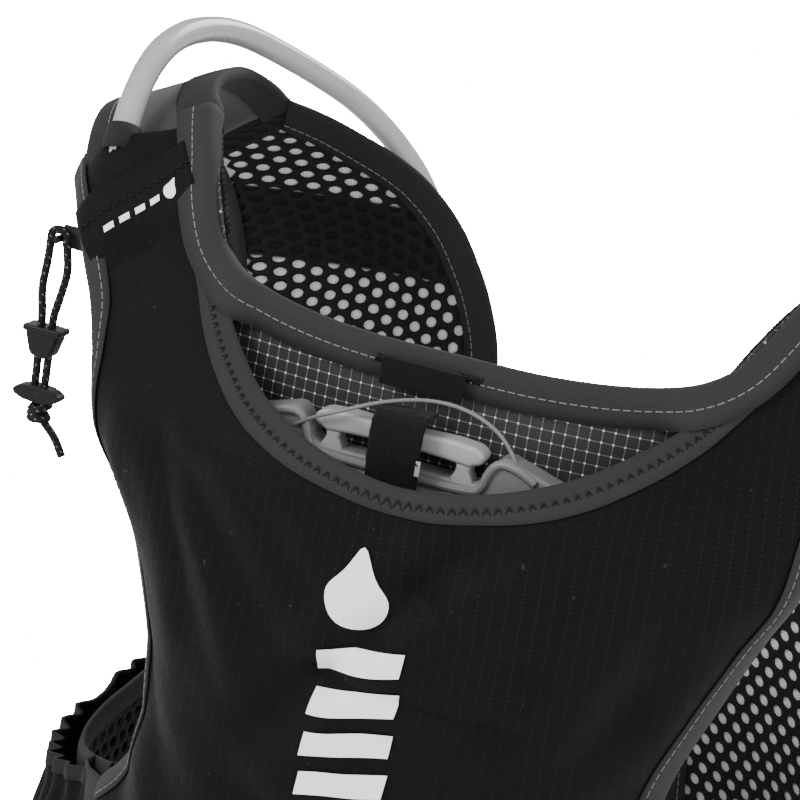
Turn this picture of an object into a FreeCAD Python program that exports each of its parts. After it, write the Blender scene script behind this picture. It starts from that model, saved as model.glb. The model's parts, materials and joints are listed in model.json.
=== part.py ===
"""Running hydration vest with a slide-top reservoir, drinking hose and sternum straps.

Millimetres, +Z up. The origin is midway between the shoulder straps, at shoulder height. +X is the
wearer's right, +Y the wearer's front. The vest holds the shape that it has when it is worn.
"""
import FreeCAD, Part
import math
import os
from FreeCAD import Placement, Rotation, Vector

doc = FreeCAD.newDocument("hydration_vest")

# ---------------------------------------------------------------- driving dimensions
SIZES = {
    "chest_half": 161.5,        # half the width of the torso at the armpits
    "waist_half": 143.0,
    "shoulder_half": 215.0,
    "back_depth": 98.0,         # origin to the back of the torso
    "front_depth": 112.0,
    "crest_height": 67.0,       # shoulder line: crest_height - crest_slope * hypot(x, crest_blend)
    "crest_slope": 0.5,
    "crest_blend": 50.0,
    "shoulder_round": 130.0,    # height over which the shoulder turns into the flat back
    "hem_level": -330.0,
    "mesh_thick": 2.4,
    "liner_lift": 2.8,
    "liner_thick": 0.8,
    "shell_lift": 5.2,
    "shell_thick": 0.9,
    "pocket_bulge": 32.5,       # how far the back pocket stands off at its fullest
    "tape_thick": 0.8,
    "strap_thick": 3.6,
    "front_thick": 2.0,
    "slide_depth": 13.0,
    "slide_slot": 4.6,
    "slide_slot_height": 15.0,
    "handle_bar": 8.0,
    "hose_width": 9.5,
    "cord_width": 3.0,
    "rail_width": 3.0,
    "rail_gap": 0.06,
    "lock_gap": 0.45,
    "rail_x": 56.5,
    "rail_y": 119.5,
    "rail_top": -118.0,
    "rail_bottom": -236.0,
    "upper_strap_level": -148.0,
    "lower_strap_level": -204.0,
    "web_width": 15.0,
    "web_thick": 1.4,
    "buckle_height": 21.0,
    "buckle_depth": 7.0,
    "button_travel": 1.8,
    "button_width": 9.0,
}
dims = doc.addObject("Spreadsheet::Sheet", "dims")
for row, (alias, value) in enumerate(SIZES.items(), start=1):
    dims.set(f"A{row}", alias)
    dims.set(f"B{row}", str(value))
    dims.setAlias(f"B{row}", alias)
doc.recompute()


def size(alias):
    return float(dims.get(alias))


CHEST = size("chest_half")
WAIST = size("waist_half")
SHOULDER = size("shoulder_half")
ROUND = size("shoulder_round")
HEM = size("hem_level")
BACK = {"depth": size("back_depth"), "power": 2.4, "side": -1.0}
FRONT = {"depth": size("front_depth"), "power": 3.0, "side": 1.0}
SUBPARTS = []
HANDS = ((-1, "left"), (1, "right"))


# ---------------------------------------------------------------- the torso that the cloth follows
def smooth(value):
    value = min(max(value, 0.0), 1.0)
    return value * value * (3 - 2 * value)


def lerp(table, value):
    """Straight interpolation in a short table of (key, value) rows, sorted by falling key."""
    if value >= table[0][0]:
        return table[0][1]
    for (k0, v0), (k1, v1) in zip(table, table[1:]):
        if value >= k1:
            return v0 + (v1 - v0) * (value - k0) / (k1 - k0)
    return table[-1][1]


def crest(x):
    return size("crest_height") - size("crest_slope") * math.hypot(x, size("crest_blend"))


def torso_half(z):
    upper = smooth((z + 120.0) / 100.0)
    lower = smooth((-120.0 - z) / 140.0)
    return CHEST + (SHOULDER - CHEST) * upper + (WAIST - CHEST) * lower


def plan_width(x, z, wall):
    share = min(abs(x) / torso_half(z), 0.999)
    return (1.0 - share ** wall["power"]) ** (1.0 / wall["power"])


def wall_y(x, z, wall):
    """Y of the torso's back or front wall."""
    drop = min(max(crest(x) - z, 0.0), ROUND) / ROUND
    turn = (1.0 - (1.0 - drop) ** 2.5) ** 0.4
    return wall["side"] * wall["depth"] * turn * plan_width(x, z, wall)


def on_wall(x, z, lift, wall):
    """A point a lift above the back or front wall, square to it."""
    e = 0.5
    y = wall_y(x, z, wall)
    slope_x = (wall_y(x + e, z, wall) - wall_y(x - e, z, wall)) / (2 * e)
    slope_z = (wall_y(x, z + e, wall) - wall_y(x, z - e, wall)) / (2 * e)
    normal = Vector(-slope_x, 1.0, -slope_z) * wall["side"]
    normal.normalize()
    return Vector(x, y, z) + normal * lift


def back(x, z, lift):
    return on_wall(x, z, lift, BACK)


def front(x, z, lift):
    return on_wall(x, z, lift, FRONT)


def shoulder_z(x, y):
    wall = FRONT if y > 0 else BACK
    z = crest(x)
    for _ in range(6):
        share = min(abs(y) / (wall["depth"] * plan_width(x, z, wall)), 0.98)
        z = crest(x) - ROUND * (1.0 - (1.0 - share ** 2.5) ** 0.4)
    return z


def shoulder(x, y, lift):
    """A point above the top of the shoulder."""
    e = 0.5
    slope_x = (shoulder_z(x + e, y) - shoulder_z(x - e, y)) / (2 * e)
    slope_y = (shoulder_z(x, y + e) - shoulder_z(x, y - e)) / (2 * e)
    normal = Vector(-slope_x, -slope_y, 1.0)
    normal.normalize()
    return Vector(x, y, shoulder_z(x, y)) + normal * lift


def side(turn, z, lift, hand):
    """A point round the flank: turn 0 is the middle of the back, 90 the side, 180 the chest."""
    def base(angle):
        wall = BACK if angle < 90 else FRONT
        s, c = abs(math.sin(math.radians(angle))), abs(math.cos(math.radians(angle)))
        x = torso_half(z) * s ** (2.0 / wall["power"])
        return Vector(hand * x, wall["side"] * wall["depth"] * c ** (2.0 / wall["power"]), z)
    tangent = base(turn + 0.5) - base(turn - 0.5)
    normal = Vector(tangent.y, -tangent.x, 0) * hand
    normal.normalize()
    return base(turn) + normal * lift


# ---------------------------------------------------------------- solids from surfaces
def surface(grid):
    face = Part.BSplineSurface()
    face.interpolate(grid)
    return face


def slab(inner, outer):
    """The closed solid between two grids of points."""
    skins = [surface(inner), surface(outer)]
    faces = [skin.toShape() for skin in skins]
    rims = []
    for skin in skins:
        u0, u1, v0, v1 = skin.bounds()
        rims.append([skin.uIso(u0), skin.uIso(u1), skin.vIso(v0), skin.vIso(v1)])
    for low, high in zip(*rims):
        faces.append(Part.makeRuledSurface(low.toShape(), high.toShape()))
    sewn = Part.makeCompound(faces)
    sewn.sewShape()
    solid = Part.Solid(Part.Shell(sewn.Faces))
    if solid.Volume < 0:
        solid.reverse()
    return solid


def sheet(place, us, vs, low, high):
    """A slab between two lifts. place(u, v, lift) gives a point, and a lift may depend on u and v."""
    def skin(lift):
        return [[place(u, v, lift(u, v) if callable(lift) else lift) for v in vs] for u in us]
    return slab(skin(low), skin(high))


def steps(start, end, count):
    return [start + (end - start) * i / (count - 1) for i in range(count)]


def add_shape(label, shape):
    piece = doc.addObject("Part::Feature", label)
    piece.Label = label
    piece.Shape = shape
    SUBPARTS.append(piece)
    return piece


def keep(piece, label):
    piece.Label = label
    SUBPARTS.append(piece)
    return piece


# Layers: wide sheets over the back, the shoulders and the chest, trimmed by flat outlines.
def wall_layer(wall, low, high, hand=0):
    """A sheet over a whole wall, or over one side of it when hand is -1 or 1."""
    def place(u, v, lift):
        bottom = HEM - 6.0
        level = bottom + v * (-bottom)
        reach = 0.965 * torso_half(level)
        x = u * reach
        top = min(crest(x) - 4.0, 2.0)
        z = bottom + v * (top - bottom)
        lift = lift(x, z) if callable(lift) else lift
        return on_wall(x, z, lift, wall)
    us = steps(-1, 1, 33) if hand == 0 else sorted(hand * u for u in steps(0.15, 1, 17))
    vs = steps(0, 1, 25)
    skins = [[[place(u, v, lift) for v in vs] for u in us] for lift in (low, high)]
    return slab(*skins)


def over_shoulder(hand, inner, outer, low, high):
    """A sheet over the shoulder between two edges, each a table of (y, x) rows."""
    def place(u, v, lift):
        near, far = lerp(inner, v), lerp(outer, v)
        return shoulder(hand * (near + u * (far - near)), v, lift)
    return sheet(place, steps(0, 1, 7), steps(inner[-1][0], inner[0][0], 13), low, high)


def outline(points):
    """A closed face: each run is a list of (x, z), joined by a spline, or by a line when it has two."""
    edges = []
    for run in points:
        flat = [Vector(a, 0, b) for a, b in run]
        if len(flat) == 2:
            edges.append(Part.LineSegment(*flat).toShape())
        else:
            curve = Part.BSplineCurve()
            curve.interpolate(flat)
            edges.append(curve.toShape())
    return Part.Face(Part.Wire(Part.__sortEdges__(edges)))


def spaced(points, count):
    """Evenly spaced (x, z) points on the spline through a run."""
    curve = Part.BSplineCurve()
    curve.interpolate([Vector(a, 0, b) for a, b in points])
    return [(p.x, p.z) for p in curve.discretize(Number=count)]


def between(near, far, wall, low, high):
    """A sheet on a wall between two runs, straight across from each point of one to the other."""
    rows = list(zip(spaced(near, 25), spaced(far, 25)))
    def skin(lift):
        return [[on_wall(a[0] + u * (b[0] - a[0]), a[1] + u * (b[1] - a[1]), lift, wall)
                 for u in steps(0, 1, 13)] for a, b in rows]
    return slab(skin(low), skin(high))


def trim(layer, points, wall):
    """The part of a layer inside an outline, seen along Y."""
    prism = outline(points).extrude(Vector(0, 400 * wall["side"], 0))
    solids = layer.common(prism).Solids
    return max(solids, key=lambda s: s.Volume)


def mirrored(points):
    return [(-a, b) for a, b in points]


def strip(run, width):
    """A closed outline round a run of points and the same run shifted square to itself by width."""
    shifted = []
    for i, (a, b) in enumerate(run):
        a0, b0 = run[max(i - 1, 0)]
        a1, b1 = run[min(i + 1, len(run) - 1)]
        length = math.hypot(a1 - a0, b1 - b0)
        shifted.append((a - width * (b1 - b0) / length, b + width * (a1 - a0) / length))
    return [run, [run[-1], shifted[-1]], shifted[::-1], [shifted[0], run[0]]]


# ---------------------------------------------------------------- outlines of the back
NECK = [(0, -55), (30, -55), (55, -53), (74, -49), (86, -42), (94, -31), (101, -18), (109, -7)]
NECK_BACK = mirrored(NECK[:0:-1]) + NECK
YOKE_CORNER = (156, -38)
ARM = [YOKE_CORNER, (146, -52), (132, -72), (125, -94), (116, -122), (108, -150), (101, -176),
       (97, -200), (99, -222), (106, -238)]
SEAM_X = ARM[-1][0]
RIM = [(0, -95), (22, -93), (43, -89), (58, -85), (70, -79), (80, -71), (87, -60), (93, -44)]
RIM_BACK = mirrored(RIM[:0:-1]) + RIM
EDGE = [(z, x) for x, z in ARM] + [(HEM, SEAM_X)]


def pocket_lift(x, z):
    """How far the back pocket's cloth stands off the torso."""
    edge = lerp(EDGE, z)
    across = 1.0 - min(abs(x) / edge, 1.0) ** 4
    up = smooth((-50.0 - z) / 46.0)
    down = 1.0 - min(max((-150.0 - z) / 184.0, 0.0), 1.0) ** 3
    hose_x = lerp([(-20, 137), (-50, 130), (-68, 124), (-92, 112), (-115, 100), (-140, 90)], z)
    channel = 11.0 * math.exp(-((abs(x) - hose_x) / 17.0) ** 2) * smooth((z + 150.0) / 50.0)
    return size("shell_lift") + size("pocket_bulge") * across * up * down + channel


def half_back(top, seam_x=SEAM_X):
    """The two arm sides and the hem that close an outline whose top edge runs from left to right."""
    low_left, low_right = (-seam_x, HEM), (seam_x, HEM)
    return [top, [top[-1], ARM[0]], ARM, [ARM[-1], low_right], [low_right, low_left],
            [low_left, mirrored(ARM)[-1]], mirrored(ARM)[::-1], [mirrored(ARM)[0], top[0]]]


def make_back():
    mesh_top = size("mesh_thick")
    add_shape("back_panel", trim(wall_layer(BACK, 0, mesh_top), half_back(NECK_BACK), BACK))
    liner = wall_layer(BACK, size("liner_lift"), size("liner_lift") + size("liner_thick"))
    add_shape("pocket_liner", trim(liner, half_back(NECK_BACK), BACK))
    thick = size("shell_thick")
    tape = size("tape_thick")
    shell = wall_layer(BACK, pocket_lift, lambda x, z: pocket_lift(x, z) + thick)
    shoulder_run = [RIM[-1], (100, -30), (113, -14)]
    wing = [(113, -14), (153, -41)]
    top = [RIM_BACK, shoulder_run, wing]
    loop = top + [[wing[-1], ARM[1]], ARM[1:]] + half_back(NECK_BACK)[3:6]
    loop += [mirrored(ARM)[:0:-1], [mirrored(ARM)[1], mirrored(wing)[1]]]
    loop += [[mirrored(wing)[1], mirrored(wing)[0]], mirrored(shoulder_run)[::-1]]
    add_shape("pocket_shell", trim(shell, loop, BACK))
    gap = thick + 0.3
    cover = wall_layer(BACK, lambda x, z: pocket_lift(x, z) + gap,
                       lambda x, z: pocket_lift(x, z) + gap + tape)
    add_shape("mouth_binding", trim(cover, strip(RIM_BACK, -10.0), BACK))
    for hand, name in HANDS:
        corners = [(hand * a, b) for a, b in ((115, -18), (151, -43), (141, -58), (107, -36))]
        flap = [[corners[i], corners[(i + 1) % 4]] for i in range(4)]
        add_shape(f"hose_flap_{name}", trim(cover, flap, BACK))
    neck_lift = size("liner_lift") + size("liner_thick") + 0.3
    strip_layer = wall_layer(BACK, neck_lift, neck_lift + tape)
    add_shape("neck_binding", trim(strip_layer, strip(NECK_BACK, -9.0), BACK))


# ---------------------------------------------------------------- straps, chest and flanks
STRAP_NECK = [(56, 133), (35, 134), (5, 130), (-20, 125), (-38, 118), (-50, 110)]
STRAP_ARM = [(56, 170), (30, 174), (0, 173), (-25, 167), (-50, 156)]
CHEST_NECK = [(132, -19), (121, -24), (108, -31), (95, -38), (84, -46), (71, -60), (61, -76),
              (54, -90), (48, -108), (46, -130)]
CHEST_EDGE = [(46, -130), (46, -200), (50, -250), (60, HEM)]
CHEST_ARM = [(170, -45), (163, -66), (155, -95), (146, -130), (140, -170), (136, -205), (134, -238)]


def handed(points, hand):
    return points if hand > 0 else mirrored(points)


def flank(hand, start, end, top, bottom, low, high):
    """A sheet round the flank between two turns; top and bottom are levels or functions of u."""
    def place(u, v, lift):
        z_top = top(u) if callable(top) else top
        z = bottom + v * (z_top - bottom)
        lift = lift(u, v) if callable(lift) else lift
        return side(start + u * (end - start), z, lift, hand)
    return sheet(place, steps(0, 1, 17), steps(0, 1, 11), low, high)


def bulge(u, v, height):
    """A pocket's fullness: nothing at its sides and hem, most near the top."""
    across = 1.0 - abs(2 * u - 1) ** 3
    along = math.sin(math.pi * min(0.08 + 0.84 * v, 0.62 + 0.2 * v))
    return height * across * along


def chest_pocket(hand, near, far, low_z, high_z, height, thick, base):
    """A stretch pocket on the chest: one pouch of cloth that stands off the panel."""
    def place(u, v, lift):
        x = near(v) + u * (far(v) - near(v))
        return front(hand * x, low_z + v * (high_z - low_z), lift)
    return sheet(place, steps(0, 1, 15), steps(0, 1, 13),
                 lambda u, v: base + bulge(u, v, height),
                 lambda u, v: base + thick + bulge(u, v, height))


def make_sides(hand, name):
    thick = size("front_thick")
    tape = size("tape_thick")
    strap = size("strap_thick")
    over = over_shoulder(hand, STRAP_NECK, STRAP_ARM, 0.4, strap)
    add_shape(f"shoulder_strap_{name}", over)
    near = handed(CHEST_NECK + CHEST_EDGE[1:], hand)
    far = handed(CHEST_ARM + [(134, HEM)], hand)
    add_shape(f"front_panel_{name}", between(near, far, FRONT, 0, thick))
    tape_layer = wall_layer(FRONT, thick + 0.8, thick + 0.8 + tape, hand)
    add_shape(f"front_binding_{name}", trim(tape_layer, strip(near, 9.0 * hand), FRONT))
    arm_back = wall_layer(BACK, size("shell_lift") + size("shell_thick") + 0.5,
                          size("shell_lift") + size("shell_thick") + 0.5 + tape)
    arm_front = trim(tape_layer, strip(handed(CHEST_ARM, hand), -9.0 * hand), FRONT)
    arm_low = trim(arm_back, strip(handed(ARM[2:], hand), 8.0 * hand), BACK)
    arm_inner = [(y, x - 8.0) for y, x in STRAP_ARM]
    arm_over = over_shoulder(hand, arm_inner, STRAP_ARM, strap + 0.3, strap + 0.3 + tape)
    add_shape(f"armhole_binding_{name}", Part.makeCompound([arm_low, arm_over, arm_front]))
    start, end = 45.0, 114.3
    def armpit(u):
        return -240.0 - 12.0 * math.sin(math.pi * u)
    add_shape(f"side_panel_{name}", flank(hand, start, end, armpit, HEM, 0, thick))
    def ruffle(u, v):
        waves = 1.2 * math.sin(22 * math.pi * u) * v
        return thick + 1.8 + bulge(u, v, 12.0) + waves
    add_shape(f"side_pocket_{name}",
              flank(hand, start + 3, end - 6, lambda u: armpit(u) - 4.0, HEM + 3.0, ruffle,
                    lambda u, v: ruffle(u, v) + 0.9))
    add_shape(f"flask_pocket_{name}",
              chest_pocket(hand, lambda v: 66 + 8 * (1 - v) ** 2, lambda v: 121.0,
                           HEM + 6, -186, 34.0, 0.9, thick + 0.4))
    add_shape(f"chest_pocket_{name}",
              chest_pocket(hand, lambda v: 84.0, lambda v: 121 + 9 * v, -172, -100, 13.0, 0.9,
                           thick + 0.4))


# ---------------------------------------------------------------- reservoir
def bladder_lift(u, v):
    fill = math.sqrt(max(1.0 - (2 * u - 1) ** 4, 0.0)) * max(math.sin(math.pi * v), 0.0) ** 1.2
    return 5.6 + 15.5 * fill + 8.0 * v ** 6


def make_reservoir():
    low, high, left, right = -302.0, -108.0, -66.0, 62.0
    near = size("liner_lift") + size("liner_thick") + 0.7
    def place(u, v, lift):
        return back(left + u * (right - left), low + v * (high - low), lift)
    pouch = add_hidden("pouch", sheet(place, steps(0, 1, 17), steps(0, 1, 17),
                                      lambda u, v: near + 5.0 * v ** 6, bladder_lift))
    lip = box("lip", 124, "dims.slide_slot - 1.2", 21, Vector(-64, SLIDE_Y - 1.7, -112))
    keep(join("fuse_bladder", [pouch, lip]), "bladder")
    make_slide()
    make_port()


SLIDE_X = -9.0
SLIDE_Y = -109.5
SLIDE_TOP = -79.0
PORT = Vector(-48, -103, -282)


def add_hidden(name, shape):
    piece = doc.addObject("Part::Feature", name)
    piece.Shape = shape
    return piece


def put(piece, values):
    for prop, value in values.items():
        if isinstance(value, str):
            piece.setExpression(prop, value)
        else:
            setattr(piece, prop, value)
    return piece


def box(name, length, width, height, corner):
    piece = doc.addObject("Part::Box", name)
    put(piece, {"Length": length, "Width": width, "Height": height})
    piece.Placement.Base = corner
    return piece


def rod(name, radius, height, base, axis=Vector(0, 0, 1)):
    piece = doc.addObject("Part::Cylinder", name)
    put(piece, {"Radius": radius, "Height": height})
    piece.Placement = Placement(base, Rotation(Vector(0, 0, 1), axis))
    return piece


def join(name, pieces):
    piece = doc.addObject("Part::MultiFuse", name)
    piece.Shapes = pieces
    return piece


def cut(name, base, tool):
    piece = doc.addObject("Part::Cut", name)
    piece.Base = base
    piece.Tool = tool
    return piece


def round_edges(name, base, radius, chosen):
    """Rounds the edges of base that the test picks."""
    doc.recompute()
    numbers = [i for i, edge in enumerate(base.Shape.Edges, start=1) if chosen(edge)]
    piece = doc.addObject("Part::Fillet", name)
    piece.Base = base
    piece.Edges = [(i, radius, radius) for i in numbers]
    return piece


def upright(edge):
    a, b = edge.Vertexes[0].Point, edge.Vertexes[-1].Point
    return abs(a.z - b.z) > 0.9 * edge.Length


def across_y(edge):
    a, b = edge.Vertexes[0].Point, edge.Vertexes[-1].Point
    return abs(a.y - b.y) > 0.9 * edge.Length


def profile_body(name, depth, draw):
    """A PartDesign body: one sketch in the XZ plane, padded towards -Y."""
    body = doc.addObject("PartDesign::Body", name)
    sketch = body.newObject("Sketcher::SketchObject", name + "_sketch")
    plane = [f for f in body.Origin.OriginFeatures if f.Role == "XZ_Plane"][0]
    sketch.AttachmentSupport = [(plane, "")]
    sketch.MapMode = "FlatFace"
    draw(sketch)
    pad = body.newObject("PartDesign::Pad", name + "_pad")
    pad.Profile = sketch
    pad.setExpression("Length", depth)
    return body


def polygon(sketch, points):
    for (a, b), (c, d) in zip(points, points[1:] + points[:1]):
        sketch.addGeometry(Part.LineSegment(Vector(a, b, 0), Vector(c, d, 0)), False)


def make_slide():
    """The slide that closes the reservoir: a rail with a recessed carrying bar, slotted below."""
    half = 75.0
    def draw(sketch):
        polygon(sketch, [(-half, -27), (half, -27), (half, -14), (half - 12, -5), (33, 0),
                         (29, -9), (-29, -9), (-33, 0), (-half + 12, -5), (-half, -14)])
    body = profile_body("slide_rail", "dims.slide_depth - 1.5", draw)
    body.Placement.Base = Vector(SLIDE_X, SLIDE_Y + 5.75, SLIDE_TOP)
    slot = box("slide_slot_cut", 170, "dims.slide_slot", "dims.slide_slot_height + 2",
               Vector(SLIDE_X - 85, SLIDE_Y - 2.3, SLIDE_TOP - 29))
    keep(cut("cut_slide", body, slot), "slide_clamp")
    bar = box("bar", 56, "dims.handle_bar", 6, Vector(SLIDE_X - 28, SLIDE_Y - 4, SLIDE_TOP - 5.5))
    posts = [box(f"post{i}", 4, "dims.handle_bar", 3.2, Vector(SLIDE_X + x, SLIDE_Y - 4, SLIDE_TOP - 8.7))
             for i, x in enumerate((-26, 22))]
    keep(join("fuse_handle", [bar] + posts), "slide_handle")


def make_port():
    x, y, z = PORT
    out = Vector(0, -1, 0)
    base = rod("port_disc", 15, 3.0, PORT, out)
    neck = rod("port_neck", 7.5, 2.0, PORT + out * 3.0, out)
    keep(join("fuse_port", [base, neck]), "hose_port")
    ring = doc.addObject("Part::Torus", "seal")
    put(ring, {"Radius1": 6.0, "Radius2": 0.6})
    ring.Placement = Placement(PORT + out * 5.65, Rotation(Vector(0, 0, 1), out))
    keep(ring, "port_seal")
    hub = rod("elbow_hub", 6.8, 5.2, PORT + out * 6.3, out)
    spout = rod("elbow_spout", 4.1, 17, Vector(x, y - 10.6, z))
    seat = Vector(x + 5.2, y - 8.9, z)
    bore = rod("button_bore", 2.0, "dims.button_travel + 0.6", seat, Vector(1, 0, 0))
    keep(cut("bore_elbow", join("fuse_elbow", [hub, spout]), bore), "hose_elbow")
    button_place = seat + Vector(size("button_travel") + 0.1, 0, 0)
    keep(rod("button", 1.8, "dims.button_width / 2", button_place, Vector(1, 0, 0)), "port_button")


# ---------------------------------------------------------------- cords
def cord_path(points):
    """Straight runs joined by tangent arcs as large as the runs allow. Returns the wire and radii."""
    marks = [Vector(*p) for p in points]
    edges, radii = [], []
    start = marks[0]
    for before, corner, after in zip(marks, marks[1:], marks[2:]):
        back_dir = (before - corner).normalize()
        next_dir = (after - corner).normalize()
        turn = math.pi - back_dir.getAngle(next_dir)
        reach = 0.45 * min((before - corner).Length, (after - corner).Length)
        radius = reach / math.tan(turn / 2)
        radii.append(round(radius, 1))
        enter, leave = corner + back_dir * reach, corner + next_dir * reach
        middle_dir = (back_dir + next_dir).normalize()
        middle = corner + middle_dir * (math.hypot(radius, reach) - radius)
        edges.append(Part.LineSegment(start, enter).toShape())
        edges.append(Part.Arc(enter, middle, leave).toShape())
        start = leave
    edges.append(Part.LineSegment(start, marks[-1]).toShape())
    return Part.Wire(edges), radii


def add_cord(label, points, diameter):
    path, radii = cord_path(points)
    direction = Vector(*points[1]) - Vector(*points[0])
    ring = Part.Wire(Part.Circle(Vector(*points[0]), direction, diameter / 2).toShape())
    tube = path.makePipeShell([ring], True, False)
    share = tube.Volume / (math.pi * diameter ** 2 / 4 * path.Length)
    print(f"{label}: length {path.Length:.0f}, radii {radii}, volume ratio {share:.3f}")
    add_shape(label, tube)


HOSE = [(-48, -113.6, -265), (-49, -116, -249), (-56, -116.5, -229), (-67, -111, -209),
        (-78, -102.5, -188), (-85, -98.5, -165), (-90, -97.5, -143), (-98, -95.5, -123),
        (-109, -92.5, -105), (-119, -89.5, -87), (-126, -87, -68), (-131.5, -81.5, -48),
        (-137, -72, -29), (-141, -59, -9), (-143, -42, 6), (-143.5, -22, 13), (-141, -1, 14.5),
        (-137, 20, 11.5), (-131, 42, 4), (-123, 64, -5), (-113, 86, -16), (-101, 102.5, -31),
        (-89, 111.5, -48), (-80, 117, -68), (-75, 120, -92), (-74, 121.5, -117)]
VALVE = Vector(-74, 121.5, -117)
LOOP_PIN = Vector(-157.5, -66.5, -57.5)
POLE_CORD = [(-160.4, -66.5, -111), (-160.6, -66.5, -96), (-160.5, -66.5, -86), (-162, -66.8, -76),
             (-160.9, -66.5, -66), (-160.7, -66.5, -60), (-160.7, -66.5, -54.3), (-154.3, -66.5, -54.3),
             (-154.3, -66.5, -60), (-152.6, -66.5, -68), (-154.2, -66.8, -77), (-156.5, -66.5, -86),
             (-156.3, -66.5, -96), (-156.6, -66.5, -111)]
TAIL = [(-157.5, -66.5, -117.4), (-156, -66.5, -123), (-151, -66, -128.5), (-147, -66, -135)]


def make_hose():
    add_cord("hose", HOSE, size("hose_width"))
    for label, place, tilt in (("hose_keeper_back", Vector(-139, -65.5, -19), Vector(-4, 13, 20)),
                               ("hose_keeper_front", Vector(-77.5, 118.5, -80), Vector(5, 3, -24))):
        tilt = Vector(tilt).normalize()
        outer = rod(label + "_outer", "dims.hose_width / 2 + 1.3", 9, place - tilt * 4.5, tilt)
        inner = rod(label + "_inner", "dims.hose_width / 2 + 0.3", 12, place - tilt * 6, tilt)
        keep(cut("cut_" + label, outer, inner), label)
    body = rod("valve_barrel", 6.6, 19, VALVE - Vector(0, 0, 19))
    collar = rod("valve_collar", 7.6, 3, VALVE - Vector(0, 0, 22))
    keep(join("fuse_valve", [body, collar]), "bite_valve_body")
    knob = rod("knob_disc", 7.9, 9, VALVE - Vector(0, 0, 31.1))
    ears = box("knob_ears", 19, 4, 7, VALVE - Vector(9.5, 2, 30.1))
    keep(join("fuse_knob", [knob, ears]), "valve_shutoff")
    tip = rod("tip_root", 6.4, 6, VALVE - Vector(0, 0, 37.2))
    mouth = box("tip_mouth", 17, 9, 15, VALVE - Vector(8.5, 4.5, 52))
    soft = round_edges("tip_round", mouth, 3.5, upright)
    keep(join("fuse_tip", [tip, soft]), "bite_tip")


# ---------------------------------------------------------------- hanger and pole loop
def make_hanger():
    keep(box("base_ply", 28, 1.0, 9, Vector(-21, -106.4, -67)), "hanger_base")
    drop = box("flap_ply", 16, 1.2, 34, Vector(-16, -121.5, -106))
    reach = box("flap_reach", 16, 15.2, 1.2, Vector(-16, -121.5, -72.6))
    keep(join("fuse_flap", [drop, reach]), "hanger_flap")


def make_pole_loop():
    ply = box("tab_ply_loop", 12, 1.4, 8, LOOP_PIN + Vector(-1.8, 3.0, -3.5))
    pin = rod("tab_pin", 1.4, 6.4, LOOP_PIN + Vector(0, 3.2, 0), Vector(0, -1, 0))
    cap = rod("tab_cap", 2.4, 0.8, LOOP_PIN + Vector(0, -2.4, 0), Vector(0, -1, 0))
    keep(join("fuse_tab", [ply, pin, cap]), "pole_tab")
    add_cord("pole_cord", POLE_CORD, size("cord_width"))
    add_cord("pole_cord_tail", TAIL, size("cord_width"))
    lock = box("lock_block", 13, 7, 11, Vector(-165, -70, -100.5))
    bores = [rod(f"lock_bore{i}", "dims.cord_width / 2 + dims.lock_gap", 13, Vector(x, -66.5, -101.5))
             for i, x in enumerate((-160.6, -156.4))]
    bored = cut("lock_bored", round_edges("lock_round", lock, 2.5, across_y), join("lock_holes", bores))
    keep(bored, "cord_lock")
    bar = box("bar_block", 19, 6, 6, Vector(-168, -69.5, -117))
    keep(round_edges("bar_round", bar, 2.6, across_y), "toggle_bar")


# ---------------------------------------------------------------- sternum straps
def make_rail(hand, name):
    x = hand * size("rail_x")
    low, high, y = size("rail_bottom"), size("rail_top"), size("rail_y")
    shaft = rod(f"rail_{name}", "dims.rail_width / 2", "dims.rail_top - dims.rail_bottom", Vector(x, y, low))
    feet = [box(f"rail_foot_{name}{i}", 4, 6.2, 5, Vector(x - 2, y - 4.7, z))
            for i, z in enumerate((low - 5, high))]
    keep(join(f"fuse_rail_{name}", [shaft] + feet), f"sternum_rail_{name}")


def make_hook(hand, name, level):
    """A hook that runs on the rail, with a bar for the webbing on its inner side."""
    x, y = hand * size("rail_x"), size("rail_y")
    block = box(f"hook_block_{name}", 11, "dims.buckle_depth", "dims.web_width + 4",
                Vector(x - 5.5, y - 3.5, level - 9.5))
    soft = round_edges(f"hook_round_{name}", block, 2.0, across_y)
    bore = rod(f"hook_bore_{name}", "dims.rail_width / 2 + dims.rail_gap", 30, Vector(x, y, level - 15))
    keep(cut(f"cut_hook_{name}", soft, bore), f"rail_hook_{name}")


def make_strap(level_name, name):
    level = size(level_name)
    rail_x, y = size("rail_x"), size("rail_y")
    make_hook(-1, f"{name}_left", level)
    make_hook(1, f"{name}_right", level)
    half = size("buckle_height") / 2
    shell = box(f"female_block_{name}", 30, "dims.buckle_depth + 2", "dims.buckle_height",
                Vector(-36, y - 4.5, level - half))
    hollow = box(f"female_hollow_{name}", 24, "dims.buckle_depth - 1.6", "dims.buckle_height - 5",
                 Vector(-28, y - 2.7, level - half + 2.5))
    keep(cut(f"cut_female_{name}", round_edges(f"female_round_{name}", shell, 4, across_y), hollow),
         f"female_buckle_{name}")
    inner = rail_x - 5.5
    web = box(f"web_left_{name}", inner - 36, "dims.web_thick", "dims.web_width",
              Vector(-inner, y - 0.7, level - size("web_width") / 2))
    keep(web, f"short_web_{name}")
    tongue = box(f"male_tongue_{name}", 26, 4.6, "dims.buckle_height - 6", Vector(-26, y - 2.3, level - half + 3))
    grip = box(f"male_grip_{name}", 12, "dims.buckle_depth + 2", "dims.buckle_height",
               Vector(-5.5, y - 4.5, level - half))
    keep(join(f"fuse_male_{name}", [tongue, round_edges(f"male_round_{name}", grip, 3, across_y)]),
         f"male_buckle_{name}")
    web = box(f"web_right_{name}", inner - 7, "dims.web_thick", "dims.web_width",
              Vector(6.9, y - 0.7, level - size("web_width") / 2))
    keep(web, f"long_web_{name}")


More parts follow.
